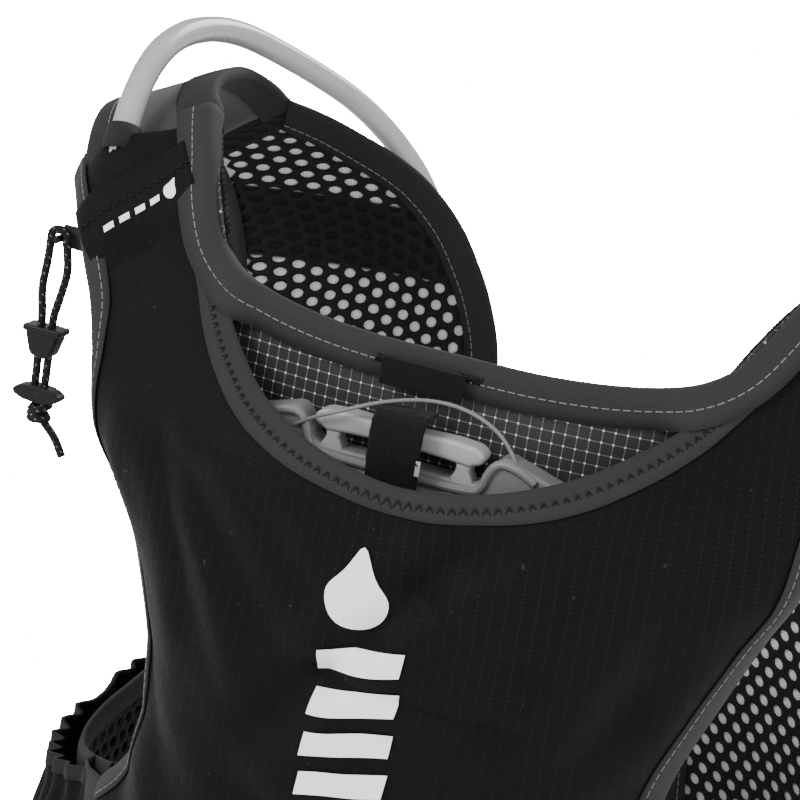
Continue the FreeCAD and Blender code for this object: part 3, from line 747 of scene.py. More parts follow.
def dress_nodes():
    """Every CAD node takes the material of its slot."""
    for part in frame["record"]["subparts"]:
        obj = NODES[part["node"]]
        obj.data.materials.clear()
        obj.data.materials.append(LOOK[SLOT_LOOK[part["material_slot"]]])


# ---------------------------------------------------------------- camera, light and floor
def add_camera():
    """Behind and above the wearer's left shoulder, as a long lens sees the open pocket."""
    target, distance = Vector((0, -95, -65)), 760.0
    turn, drop, roll = math.radians(17), math.radians(16), math.radians(-9.5)
    ahead = Vector((-math.sin(turn) * math.cos(drop), math.cos(turn) * math.cos(drop), -math.sin(drop)))
    level = Vector((math.cos(turn), math.sin(turn), 0))
    rise = level.cross(ahead)
    right = level * math.cos(roll) - rise * math.sin(roll)
    up = level * math.sin(roll) + rise * math.cos(roll)
    data = bpy.data.cameras.new("view")
    data.lens, data.sensor_width = 108.0, 36.0
    data.shift_x, data.shift_y = -0.06625, -0.01875
    data.clip_start, data.clip_end = 0.02, 30.0
    camera = bpy.data.objects.new("view", data)
    axes = Matrix((right, up, -ahead)).transposed().to_4x4()
    camera.matrix_world = Matrix.Translation((target - ahead * distance) * MM) @ axes
    bpy.context.scene.collection.objects.link(camera)
    bpy.context.scene.camera = camera


def add_light(name, place, aim, size, power):
    data = bpy.data.lights.new(name, "AREA")
    data.shape, data.size, data.energy = "DISK", size, power
    light = bpy.data.objects.new(name, data)
    light.location = place
    light.rotation_euler = (Vector(aim) - Vector(place)).to_track_quat("-Z", "Y").to_euler()
    bpy.context.scene.collection.objects.link(light)


# how bright the white surroundings are to the object, and to the camera
AMBIENT, BACKDROP = 1.0, 40.0


def add_stage():
    """A white studio: an even sky, three lights and a floor that the camera sees as plain white."""
    world = bpy.data.worlds.new("studio")
    world.use_nodes = True
    tree = world.node_tree
    sky = tree.nodes["Background"]
    sky.inputs[0].default_value = (1, 1, 1, 1)
    seen = tree.nodes.new("ShaderNodeMapRange")
    seen.inputs[3].default_value, seen.inputs[4].default_value = AMBIENT, BACKDROP
    tree.links.new(tree.nodes.new("ShaderNodeLightPath").outputs["Is Camera Ray"], seen.inputs[0])
    tree.links.new(seen.outputs[0], sky.inputs[1])
    bpy.context.scene.world = world
    aim = (0, 0, -0.15)
    add_light("key", (-1.1, -1.5, 1.2), aim, 0.9, 38)
    add_light("fill", (1.6, -1.1, 0.5), aim, 1.2, 16)
    add_light("rim", (0.3, 1.5, 1.0), aim, 1.0, 26)
    mesh = bpy.data.meshes.new("floor")
    reach, level = 6.0, CAD_BOX[0][2] - 0.02
    corners = [(x, y, level) for x, y in rectangle(-reach, -reach, reach, reach)]
    mesh.from_pydata(corners, [], [(0, 1, 2, 3)])
    floor = bpy.data.objects.new("floor", mesh)
    bpy.context.scene.collection.objects.link(floor)
    pale = Cloth("studio_floor", (0.92, 0.92, 0.92), 0.9)
    pale.set("Base Color", pale.mix(pale.noise(2, 2), (0.9, 0.9, 0.9), (0.94, 0.94, 0.94)))
    seen = pale.node("ShaderNodeLightPath").outputs["Is Camera Ray"]
    pale.set("Emission Color", (1.0, 1.0, 1.0, 1.0))
    pale.set("Emission Strength", pale.maths("MULTIPLY", seen, BACKDROP))
    mesh.materials.append(pale.material)


# ---------------------------------------------------------------- cords
HOSE = [(-48, -113.6, -265), (-49, -116, -249), (-56, -116.5, -229), (-67, -111, -209),
        (-78, -102.5, -188), (-85, -98.5, -165), (-90, -97.5, -143), (-98, -95.5, -123),
        (-109, -92.5, -105), (-119, -89.5, -87), (-126, -87, -68), (-131.5, -81.5, -48),
        (-137, -72, -29), (-141, -59, -9), (-143, -42, 6), (-143.5, -22, 13), (-141, -1, 14.5),
        (-137, 20, 11.5), (-131, 42, 4), (-123, 64, -5), (-113, 86, -16), (-101, 102.5, -31),
        (-89, 111.5, -48), (-80, 117, -68), (-75, 120, -92), (-74, 121.5, -117)]
POLE_CORD = [(-160.4, -66.5, -111), (-160.6, -66.5, -96), (-160.5, -66.5, -86), (-162, -66.8, -76),
             (-160.9, -66.5, -66), (-160.7, -66.5, -60), (-160.7, -66.5, -54.3),
             (-154.3, -66.5, -54.3), (-154.3, -66.5, -60), (-152.6, -66.5, -68),
             (-154.2, -66.8, -77), (-156.5, -66.5, -86), (-156.3, -66.5, -96), (-156.6, -66.5, -111)]
TAIL = [(-157.5, -66.5, -117.4), (-156, -66.5, -123), (-151, -66, -128.5), (-147, -66, -135)]


def cord_curve(name, points, diameter, look, body):
    """A round cord along one smooth curve with these points as its control points."""
    data = bpy.data.curves.new(name, "CURVE")
    data.dimensions = "3D"
    spline = data.splines.new("NURBS")
    spline.points.add(len(points) - 1)
    for point, place in zip(spline.points, points):
        point.co = (*(Vector(place) * MM), 1.0)
    spline.order_u = 3
    spline.use_endpoint_u = True
    spline.resolution_u = 6
    data.bevel_depth = diameter / 2 * MM
    data.bevel_resolution = 5
    data.use_fill_caps = True
    data.materials.append(LOOK[look])
    obj = bpy.data.objects.new(name, data)
    bpy.context.scene.collection.objects.link(obj)
    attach(obj, body)
    return obj


def make_hose():
    """The drinking hose from the port, over the left shoulder, to the bite valve."""
    hose = cord_curve("drinking_hose", HOSE, 9.5, "hose", "vest")
    stand_in("hose")
    Vector(HOSE[0]) * MM


def make_lock():
    """The lock that pinches the pole cord: a wedge under a rim."""
    wedge = [(-165.2, -89.8), (-151.8, -89.8), (-152.6, -94), (-154.4, -99.6), (-158.5, -101),
             (-162.6, -99.6), (-164.4, -94)]
    lock = block("cord_lock_body", wedge, -70.2, -62.8, "black", "cord_lock", 1.3)
    rim = block("cord_lock_rim", rectangle(-165.9, -91.6, -151.1, -89.2), -70.6, -62.4, "black",
                "cord_lock", 0.8)
    join_into(lock, [rim])
    stand_in("cord_lock")
    return lock


def make_pole_loop():
    """The cord loop for poles, with its lock, toggle and knot."""
    cord = cord_curve("pole_cord_loop", POLE_CORD, 3.0, "braid", "pole_loop")
    stand_in("pole_cord")
    bar = oval(-158.5, -114.0, 9.2, 3.1, 24)
    toggle = block("toggle", bar, -69.4, -63.6, "black", "pole_loop", 1.4)
    stand_in("toggle_bar")
    knot_runs = []
    for k, (tilt, reach) in enumerate(((0.5, 3.6), (-0.6, 3.4), (0.1, 3.0))):
        knot_runs.append([Vector((-157.5 + reach * math.cos(a) * math.cos(tilt),
                                  -66.5 + reach * 0.8 * math.sin(a),
                                  -119.6 - 1.6 * k + reach * math.cos(a) * math.sin(tilt)))
                          for a in [2 * math.pi * i / 14 for i in range(15)]])
    knot_runs.append(curve_through(TAIL, 12))
    knot = tubes("pole_cord_knot", knot_runs, 1.5, "braid", "pole_loop", sides=10)
    stand_in("pole_cord_tail")
    Vector(POLE_CORD[0]) * MM
    make_lock()


add_camera()
add_stage()
dress_nodes()
make_hose()
make_pole_loop()


# ---------------------------------------------------------------- cloth helpers
TAPE_THICK = 0.5


def girth(x, z, wall):
    """The length along a wall from its middle to x, at one level."""
    last, total = Vector((0, wall_y(0, z, wall))), 0.0
    for i in range(1, 11):
        here = Vector((x * i / 10, wall_y(x * i / 10, z, wall)))
        total += (here - last).length
        last = here
    return math.copysign(total, x)


def fill_in(top, bottom, inner, outer, cols, rows):
    """A grid of flat points inside four runs: top and bottom from inner to outer, the others down."""
    t, b = spread(top, cols), spread(bottom, cols)
    n, f = spread(inner, rows), spread(outer, rows)
    grid = []
    for i in range(rows):
        v, row = i / (rows - 1), []
        for j in range(cols):
            u = j / (cols - 1)
            row.append(tuple((1 - v) * t[j][k] + v * b[j][k] + (1 - u) * n[i][k] + u * f[i][k]
                             - (1 - u) * (1 - v) * t[0][k] - u * (1 - v) * t[-1][k]
                             - (1 - u) * v * b[0][k] - u * v * b[-1][k] for k in (0, 1)))
        grid.append(row)
    return grid


def full_back(top, outer, cols=62, rows=90):
    """The grid of flat points of a piece that covers the whole back."""
    half = fill_in(top, [(0, HEM), (106, HEM)], [top[0], (0, HEM)], outer, cols, rows)
    return [[(-a, b) for a, b in row[:0:-1]] + row for row in half]


def lay(name, flat, lift, look, thick):
    """A sheet over the back from a grid of flat points; lift is a number or a function of x and z."""
    grid = [[back(x, z, lift(x, z) if callable(lift) else lift) for x, z in row] for row in flat]
    uvs = [[(girth(x, z, BACK), z) for x, z in row] for row in flat]
    return skin(name, grid, look, "vest", thick, uvs)


def cloth_area(obj):
    return sum(face.area for face in obj.data.polygons)


def declare(obj, flat):
    """Works out the cloth area of a piece, no larger than flat, its cut's width and length in metres; nothing
    is done with it.
    """
    area = min(cloth_area(obj), flat[0] * flat[1])


def declare_tape(obj, width):
    """Passes a tape's width in metres, and the length that follows from its area, on to declare."""
    declare(obj, (width, cloth_area(obj) / width))


def slopes(edge):
    """The unit direction of a run of flat points at each of them."""
    found = []
    for i in range(len(edge)):
        a, b = edge[max(i - 1, 0)], edge[min(i + 1, len(edge) - 1)]
        length = math.dist(a, b) or 1.0
        found.append(((b[0] - a[0]) / length, (b[1] - a[1]) / length))
    return found


def offset(edge, inward, distance):
    return [(a - inward * tb * distance, b + inward * ta * distance)
            for (a, b), (ta, tb) in zip(edge, slopes(edge))]


def fold_tape(name, edge, place, inward, width, low, high, look):
    """A tape folded over an edge. inward is the side that the cloth lies on; low and high are lifts."""
    across = [(width, 0.0), (width * 0.66, 0.0), (width * 0.33, 0.0), (0.6, 0.02), (-0.5, 0.22),
              (-0.8, 0.5), (-0.5, 0.78), (0.6, 0.98), (width * 0.33, 1.03), (width * 0.66, 1.03),
              (width, 1.0)]
    rows, uvs, run = [], [], 0.0
    tracks = [(offset(edge, inward, d), d, t) for d, t in across]
    for i in range(len(edge)):
        row = []
        for track, d, t in tracks:
            a, b = track[i]
            lo, hi = low(*edge[i]), high(a, b)
            row.append(place(a, b, lo + (hi - lo) * t))
        if i:
            run += (row[5] - rows[-1][5]).length
        rows.append(row)
        uvs.append([((-1 if t < 0.5 else 1) * max(d, 0), run) for _, d, t in tracks])
    return skin(name, rows, look, "vest", TAPE_THICK, uvs)


def dashes(edge, place, lift, pitch=3.3, length=2.2, swing=0.0):
    """Stitches along a run: dashes, or a zigzag when swing is not zero."""
    track = [place(a, b, lift(a, b) if callable(lift) else lift) for a, b in edge]
    total = sum((q - p).length for p, q in zip(track, track[1:]))
    count = max(int(total / pitch), 2)
    if swing:
        steps = spread([tuple(p) for p in track], count + 1)
        sides = []
        for i, p in enumerate(steps):
            ahead = (Vector(steps[min(i + 1, count)]) - Vector(steps[max(i - 1, 0)])).normalized()
            below = edge[min(int(i / count * (len(edge) - 1)), len(edge) - 1)]
            up = (place(*below, 10.0) - place(*below, 0.0)).normalized()
            sides.append(Vector(p) + ahead.cross(up).normalized() * swing * (1 if i % 2 else -1))
        return [[a, b] for a, b in zip(sides, sides[1:])]
    fine = spread([tuple(p) for p in track], count * 4 + 1)
    keep = max(round(4 * length / pitch), 1)
    return [[Vector(fine[4 * i + k]) for k in range(keep + 1)] for i in range(count)]


def flat_lift(value):
    return lambda a, b: value


def above(lift, rise):
    """A lift that follows another one at a set height above it."""
    return lambda a, b: lift(a, b) + rise


# ---------------------------------------------------------------- the back
CREASES = [((24, -104), (-26, -172), 7.0, 2.6), ((-14, -156), (36, -160), 5.0, 1.6),
           ((-82, -88), (-60, -150), 6.0, 1.5), ((-70, -96), (-34, -150), 7.0, 1.3),
           ((60, -98), (44, -168), 8.0, 1.6), ((84, -84), (72, -150), 8.0, 1.7),
           ((90, -120), (40, -200), 8.0, 1.5), ((-96, -150), (-58, -220), 9.0, 1.4),
           ((-30, -210), (30, -228), 8.0, 1.6), ((70, -190), (20, -262), 9.0, 1.6),
           ((-80, -236), (-20, -286), 9.0, 1.6), ((-104, -90), (-92, -160), 5.0, 1.0),
           ((10, -120), (48, -142), 6.0, 1.2), ((-44, -250), (52, -300), 9.0, 1.3)]


def crease(x, z, start, end, width, depth):
    """A soft fold along a line: a valley with a low ridge on each side."""
    dx, dz = end[0] - start[0], end[1] - start[1]
    length = math.hypot(dx, dz)
    along = ((x - start[0]) * dx + (z - start[1]) * dz) / length
    away = abs((x - start[0]) * dz - (z - start[1]) * dx) / length
    bend = 3.0 * math.sin(3.0 * along / length)
    away = abs(away + bend) / width
    past = max(-along, along - length, 0.0) / (2.2 * width)
    fade = math.exp(-past * past)
    return depth * fade * (-math.exp(-away * away) + 0.55 * math.exp(-(away - 1.9) ** 2))


FOLD_DEPTH = 1.4
MOUTH_FADE, FADE_REACH = -78.0, 30.0


def rumple(x, z):
    """The pocket cloth's creases and its drift, which fade out at its seams."""
    rise = sum(crease(x, z, *one) for one in CREASES)
    lean, fall = 0.8 * x + 0.6 * z, -0.6 * x + 0.8 * z
    rise += 1.5 * noise.noise(Vector((lean * 0.030, fall * 0.011, 4.0)))
    rise += 0.55 * noise.noise(Vector((lean * 0.085, fall * 0.028, 9.0)))
    rise += 0.9 * noise.noise(Vector((x * 0.014, z * 0.016, 2.0)))
    edge = 1.0 - min(abs(x) / lerp(EDGE, z), 1.0)
    return (FOLD_DEPTH * rise * smooth(edge * 7.0) * smooth((z - HEM) / 24.0)
            * smooth((MOUTH_FADE - z) / FADE_REACH))


def shell_lift(x, z):
    return pocket_lift(x, z) + 0.45 + rumple(x, z)


def liner_lift(x, z):
    ripple = 0.5 * noise.noise(Vector((x * 0.03, z * 0.05, 7.0)))
    return 3.2 + ripple


def seam_run(start):
    return curve_through([start] + ARM[1:], 80) + [[106.0, HEM]]


def make_back():
    """The three cloths of the back: spacer panel, pocket lining and pocket shell."""
    neck_top = curve_through(NECK, 50) + [[156.0, -38.0]]
    arm_run = seam_run((156, -38))
    flat = full_back(neck_top, arm_run)
    panel = lay("back_spacer", flat, 1.2, "spacer", thick=2.2)
    stand_in("back_panel")
    declare(panel, (0.325, 0.325))
    liner = lay("pocket_lining", flat, liner_lift, "liner", thick=0.4)
    stand_in("pocket_liner")
    declare(liner, (0.335, 0.325))
    rim_top = curve_through(MOUTH, 60) + [list(p) for p in RUN[1:]]
    flat = full_back(rim_top, seam_run((153, -41)), cols=84, rows=130)
    shell = lay("pocket_cloth", flat, shell_lift, "shell", thick=0.7)
    stand_in("pocket_shell")
    declare(shell, (0.39, 0.345))


def make_mouth():
    """The tape round the pocket's mouth, with its black zigzag."""
    edge = curve_through(both_sides(MOUTH), 170)
    tape = fold_tape("mouth_tape", edge, back, -1, 7.2, above(pocket_lift, -0.9), above(shell_lift, 1.1),
                     "grey_tape")
    stand_in("mouth_binding")
    declare_tape(tape, 0.022)
    track = offset(edge, -1, 3.7)
    runs = dashes(track, back, above(shell_lift, 1.5), 1.75, 1.75, swing=1.6)
    tubes("mouth_zigzag", runs, 0.27, "black_thread")


def neck_lift(x, z):
    """The neck tape lies flat at the middle and climbs over the ends of the mouth tape."""
    climb = smooth((abs(x) - 66.0) / 12.0)
    return 4.5 + (pocket_lift(x, z) + 2.5 - 4.5) * climb


def make_neck():
    """The tape round the neck of the back, with its pale dashed seam."""
    edge = curve_through(both_sides(NECK), 170)
    tape = fold_tape("neck_tape", edge, back, -1, 11.5, flat_lift(-0.5), neck_lift, "grey_tape")
    stand_in("neck_binding")
    declare_tape(tape, 0.024)
    runs = dashes(offset(edge, -1, 6.0), back, above(neck_lift, 0.45))
    tubes("neck_stitches", runs, 0.24, "grey_thread")


def make_flap(hand, name):
    """The hose flap on the shoulder: a hemmed edge with a zigzag, a print, and a skirt into the shell."""
    start, end = Vector((111.0, -19.0)), Vector((136.5, -48.0))
    ahead = (end - start).normalized()
    down = Vector((ahead.y, -ahead.x))
    def spot(along, below):
        place = start + ahead * along * (end - start).length + down * below
        return hand * place.x, place.y
    def flap_lift(x, z):
        below = (Vector((abs(x), z)) - start).dot(down)
        return pocket_lift(x, z) + 3.2 - 3.3 * smooth((below - 9.0) / 15.0)
    cols, rows = 34, 26
    flat = [[spot(j / (cols - 1), 26.0 * i / (rows - 1)) for j in range(cols)] for i in range(rows)]
    flap = lay(f"hose_flap_cloth_{name}", flat, flap_lift, "shell", thick=0.9)
    stand_in(f"hose_flap_{name}")
    declare(flap, (0.052, 0.026))
    runs = dashes([spot(k / 30, 6.5) for k in range(31)], back, above(flap_lift, 0.65), 1.5, 1.5, swing=0.7)
    tubes(f"flap_zigzag_{name}", runs, 0.24, "black_thread")
    bars = [(spot(0.36 + 0.13 * k, 10.8), 3.2, 1.5) for k in range(4)]
    decal(f"flap_print_{name}", (spot(0.22, 10.8), 2.1), bars, above(flap_lift, 0.75), -49 * hand)


def decal(name, drop, bars, lift, tilt):
    """A flat print of a drop and leaning bars on the back."""
    verts, faces, uvs = [], [], []
    turn = math.radians(tilt)
    def add(points, cols):
        start = len(verts)
        for x, z in points:
            verts.append(back(x, z, lift(x, z)))
            uvs.append((x, z))
        rows = len(points) // cols
        faces.extend(tuple(i + start for i in quad) for quad in grid_faces(rows, cols))
    (cx, cz), size = drop
    points = []
    for i in range(9):
        r = size * max(i, 0.05) / 8
        for k in range(37):
            angle = 2 * math.pi * k / 36
            tip = max(math.cos(angle), 0.0)
            points.append((cx + r * math.sin(angle) * (1 - 0.35 * tip ** 2),
                           cz + r * (1.0 + 0.75 * tip ** 6) * math.cos(angle)))
    add(points, 37)
    for (cx, cz), length, width in bars:
        points = []
        for i in range(5):
            for j in range(25):
                a, b = length * (j / 24 - 0.5), width * (i / 4 - 0.5)
                a += 0.35 * b
                points.append((cx + a * math.cos(turn) - b * math.sin(turn),
                               cz + a * math.sin(turn) + b * math.cos(turn)))
        add(points, 25)
    add_mesh(name, verts, faces, "ink", "vest", uvs)


def make_print():
    """The large white print on the pocket: a drop over a stack of leaning bars."""
    bars = [((-2, -147 - 14.0 * i), 28, 8.0) for i in range(5)]
    decal("pocket_print", ((-6, -127), 10.0), bars, above(shell_lift, 1.0), 14)


# ---------------------------------------------------------------- shoulders and chest
def make_shoulder(hand, name):
    """The padded strap over the shoulder, with its seam."""
    rows, start, reach = [], 62, 122
    for i in range(34):
        y = start - reach * i / 33
        near, far = lerp(STRAP_NECK, y), lerp(STRAP_ARM, y)
        rows.append([(hand * (near + (far - near) * j / 18), y) for j in range(19)])
    outer = [[shoulder(x, y, 1.4 + 2.6 * (1.0 - abs(2 * j / 18 - 1) ** 4)) for j, (x, y) in enumerate(row)]
             for row in rows]
    inner = [[shoulder(x, y, 0.5) for x, y in row] for row in rows]
    uvs = [q for row in grid_lengths(outer) for q in row] * 2
    pad = closed_shell(f"shoulder_pad_{name}", outer, inner, "strap", uvs)
    stand_in(f"shoulder_strap_{name}")
    seam = [shoulder(hand * (lerp(STRAP_NECK, y) + 13), y, 4.2) for y in range(56, -56, -4)]
    tubes(f"strap_seam_{name}", [seam], 0.35, "black_thread")


def make_bindings(hand, name):
    """The tapes round the armhole and along the strap's neck side, with the armhole's stitches."""
    arm = [(hand * x, z) for x, z in curve_through([(153, -41)] + ARM[1:], 90)]
    low = flat_lift(-0.4)
    tape_back = fold_tape(f"armhole_tape_back_{name}", arm, back, -hand, 8.5, low,
                          above(shell_lift, 1.2), "grey_tape")
    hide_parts(f"armhole_binding_{name}")
    arm_over = curve_through([(hand * x, y) for y, x in STRAP_ARM], 60)
    tape_over = fold_tape(f"armhole_tape_over_{name}", arm_over, shoulder, -hand, 8.0,
                          flat_lift(0.1), flat_lift(4.6), "dark_tape")
    chest = [(hand * x, z) for x, z in curve_through(CHEST_ARM, 90)]
    tape_front = fold_tape(f"armhole_tape_front_{name}", chest, front, -hand, 9.0,
                           flat_lift(-0.5), flat_lift(3.0), "grey_tape")
    neck_over = curve_through([(hand * x, y) for y, x in STRAP_NECK], 60)
    tape_neck = fold_tape(f"strap_tape_{name}", neck_over, shoulder, hand, 11.0,
                          flat_lift(-0.1), flat_lift(4.6), "dark_tape")
    for tape in (tape_back, tape_over, tape_front, tape_neck):
        declare_tape(tape, 0.02)
    runs = dashes(offset(arm, -hand, 6.6), back, above(shell_lift, 1.75))
    runs += dashes(offset(chest, -hand, 6.6), front, 3.45)
    runs += dashes(offset(arm_over, -hand, 6.2), shoulder, 5.05)
    tubes(f"armhole_stitches_{name}", runs, 0.22, "grey_thread")


def on_curve(points, count):
    """Flat points on a smooth run, evenly spaced along the chest's surface."""
    fine = curve_through(points, 300)
    lengths = run_lengths([tuple(front(x, z, 0)) for x, z in fine])
    return spread(fine, count, lengths), lengths[-1]


HOLE_PITCH, HOLE_RADIUS = 7.6, 2.35


def perforated(name, place, inside, width, length, thick=0.7):
    """Knit with staggered round holes. place(t, s) gives a point and inside(t, s) is true on the cloth."""
    verts, faces, uvs = [], [], []
    pitch, step = HOLE_PITCH, HOLE_PITCH * math.sqrt(3) / 2
    for row in range(int(length / step) + 1):
        for col in range(int(width / pitch) + 2):
            ct, cs = (col + 0.5 * (row % 2)) * pitch, row * step
            rim = []
            for k in range(12):
                angle = math.pi * k / 6 + math.pi / 6
                far = pitch / math.sqrt(3) * (1.0 if k % 2 == 0 else math.cos(math.pi / 6))
                angle += math.pi / 6
                rim.append((ct + far * math.sin(angle), cs + far * math.cos(angle)))
            if not all(inside(t, s) for t, s in rim):
                continue
            start = len(verts)
            for t, s in list(rim):
                reach = math.hypot(t - ct, s - cs)
                rim.append((ct + (t - ct) * HOLE_RADIUS / reach, cs + (s - cs) * HOLE_RADIUS / reach))
            verts += [place(t, s) for t, s in rim]
            uvs += rim
            for k in range(12):
                n = (k + 1) % 12
                faces.append((start + k, start + n, start + 12 + n, start + 12 + k))
    obj = add_mesh(name, verts, faces, "knit", "vest", uvs, merge=0.05)
    thicken(obj, thick)
    return obj


def make_chest(hand, name):
    """The chest panel: two layers of open mesh with a pale net between them, and its edge tape."""
    near, reach = on_curve([(hand * x, z) for x, z in CHEST_NECK], 160)
    far, _ = on_curve([(hand * x, z) for x, z in CHEST_ARM], 160)
    spans = [(front(*a, 0) - front(*b, 0)).length for a, b in zip(near, far)]
    def spot(t, s, lift):
        row = min(max(s / reach * 159, 0.0), 158.999)
        i, part = int(row), row % 1
        a = [p + (q - p) * part for p, q in zip(near[i], near[i + 1])]
        b = [p + (q - p) * part for p, q in zip(far[i], far[i + 1])]
        share = t / (spans[i] + (spans[i + 1] - spans[i]) * part)
        return front(a[0] + (b[0] - a[0]) * share, a[1] + (b[1] - a[1]) * share, lift)
    def inside(t, s):
        return 1.5 < s < reach - 1.5 and 2.0 < t < spans[int(min(s / reach, 0.999) * 159)] - 2.0
    widest = max(spans)
    def layer(label, lift):
        return perforated(f"chest_mesh_{label}_{name}", lambda t, s: spot(t, s, lift), inside, widest, reach)
    inner, outer = layer("inner", 0.3), layer("outer", 2.0)
    rows = [[spot(spans[int(i / 60 * 158)] * (0.03 + 0.94 * j / 20), 9 + (reach - 10) * i / 60, 1.1)
             for j in range(21)] for i in range(61)]
    net = skin(f"chest_net_{name}", rows, "net", thick=0.15)
    band = [[spot(spans[int(s / reach * 159)] * j / 20, s, 1.3) for j in range(21)]
            for s in (0.0, 3.0, 6.0, 9.0, 12.0)]
    skin(f"chest_top_band_{name}", band, "knit", thick=2.0)
    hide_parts(f"front_panel_{name}")
    for piece in (inner, outer, net):
        declare(piece, (0.115, 0.34))
    edge = curve_through(near, 150)
    tape = fold_tape(f"chest_tape_{name}", edge, front, hand, 12.5, flat_lift(-0.6), flat_lift(3.0),
                     "dark_tape")
    stand_in(f"front_binding_{name}")
    declare_tape(tape, 0.027)
    seam = offset(edge, hand, 9.5)
    runs = dashes(seam, front, -1.0) + dashes(seam, front, 3.4)
    tubes(f"chest_stitches_{name}", runs, 0.22, "grey_thread")


def bulge(u, v, height):
    """How far a pocket's cloth stands out at a share u across and v up."""
    across = 1.0 - abs(2 * u - 1) ** 3
    return height * across * math.sin(math.pi * min(0.08 + 0.84 * v, 0.62 + 0.2 * v))


def make_pockets(hand, name):
    """The flask and chest pockets: stretch cloth with a gathered top under an elastic tape."""
    shapes = {
        "flask_pocket": (lambda v: 66 + 8 * (1 - v) ** 2, lambda v: 121.0, HEM + 6, -186, 34.0, 2.8),
        "chest_pocket": (lambda v: 84.0, lambda v: 121 + 9 * v, -172, -100, 13.0, 2.8),
    }
    for label, (near, far, low_z, high_z, height, base) in shapes.items():
        def at(u, v, extra=0.0):
            x = near(v) + u * (far(v) - near(v))
            gather = 0.8 * math.sin(26 * math.pi * u) * smooth((v - 0.72) / 0.28) * math.sin(math.pi * u)
            soft = 0.9 * noise.noise(Vector((u * 4, v * 5, 6.0))) * math.sin(math.pi * u)
            z = low_z + v * (high_z - low_z)
            return front(hand * x, z, base + bulge(u, v, height) + gather + soft + extra)
        foot = [front(hand * (near(0) + (far(0) - near(0)) * j / 44), low_z - 4.0, 2.6) for j in range(45)]
        grid = [foot] + [[at(j / 44, i / 50) for j in range(45)] for i in range(51)]
        cloth = skin(f"{label}_cloth_{name}", grid, "shell", thick=0.8)
        stand_in(f"{label}_{name}")
        size = (0.105, 0.15) if label == "flask_pocket" else (0.06, 0.085)
        declare(cloth, size)
        band = [[at(j / 44, 1.0 - 0.045 * i / 3, 0.75) for j in range(45)] for i in range(4)]
        tape = skin(f"{label}_tape_{name}", band, "dark_tape", thick=0.9)
        runs = [[at(j / 44, 1.0 - 0.03, 1.35), at((j + 0.55) / 44, 1.0 - 0.03, 1.35)] for j in range(44)]
        tubes(f"{label}_stitches_{name}", runs, 0.22, "grey_thread")


def make_flank(hand, name):
    """The open side panel with its tapes, and the ruffled pocket over it."""
    start, end = 45.0, 114.3
    fine = [start + (end - start) * i / 120 for i in range(121)]
    track = [side(turn, -290, 0, hand) for turn in fine]
    lengths = [0.0]
    for p, q in zip(track, track[1:]):
        lengths.append(lengths[-1] + (q - p).length)
    width = lengths[-1]
    def turn_at(t):
        i = 0
        while i < 119 and lengths[i + 1] < t:
            i += 1
        return fine[i] + (fine[i + 1] - fine[i]) * (t - lengths[i]) / (lengths[i + 1] - lengths[i])
    def armpit(u):
        return -240.0 - 12.0 * math.sin(math.pi * u)
    def place(t, s):
        return side(turn_at(min(max(t, 0.0), width)), HEM + s, 1.0, hand)
    def inside(t, s):
        return 0.5 < t < width - 0.5 and 0.8 < s < armpit(t / width) - HEM - 0.8
    panel = perforated(f"flank_mesh_{name}", place, inside, width, 92, thick=1.0)
    stand_in(f"side_panel_{name}")
    declare(panel, (0.15, 0.09))
    fold = ((-8, -0.4), (-3, -0.4), (0.6, 0.4), (0.6, 1.6), (-3, 2.4), (-8, 2.4))
    rows = [[side(start + (end - start) * i / 80, armpit(i / 80) + z, lift, hand) for z, lift in fold]
            for i in range(81)]
    skin(f"flank_tape_{name}", rows, "grey_tape", thick=TAPE_THICK)
    for label, turns in (("near", ((41.2, 6.4), (44, 7.4), (47.5, 7.6), (50.5, 6.2), (52, 1.6))),
                         ("far", ((106.6, 1.6), (108, 6.2), (111, 6.6), (114.5, 5.6), (118.5, 3.3)))):
        rows = [[side(turn, HEM + 1 + (armpit(0) - HEM - 3) * i / 40, lift, hand) for turn, lift in turns]
                for i in range(41)]
        skin(f"flank_seam_{label}_{name}", rows, "grey_tape", thick=0.6)
    def pleat(u, v):
        waves = 1.0 + 0.35 * noise.noise(Vector((u * 7, 1.0, hand)))
        ends = math.sin(math.pi * min(max(u, 0.02), 0.98)) ** 0.4
        gather = 2.3 * math.sin(22 * math.pi * u * waves ** 0.2) * v ** 1.5 * ends
        return 4.6 + bulge(u, v, 12.0) + gather + 1.1 * noise.noise(Vector((u * 9, v * 5, 8.0)))
    def at(u, v, extra=0.0):
        turn = start + 3 + u * (end - start - 9)
        top = armpit(u) - 4.0
        z = HEM + 3.0 + v * (top - HEM - 3.0)
        return side(turn, z, pleat(u, v) + extra, hand)
    foot = [side(start + 3 + (end - start - 9) * j / 150, HEM + 0.5, 1.8, hand) for j in range(151)]
    grid = [foot] + [[at(j / 150, i / 34) for j in range(151)] for i in range(35)]
    pocket = skin(f"side_pocket_cloth_{name}", grid, "shell", thick=0.8)
    stand_in(f"side_pocket_{name}")
    declare(pocket, (0.22, 0.1))
    band = [[at(j / 150, 1.0 - 0.07 * i / 3, 0.75) for j in range(151)] for i in range(4)]
    skin(f"side_pocket_tape_{name}", band, "dark_tape", thick=0.9)


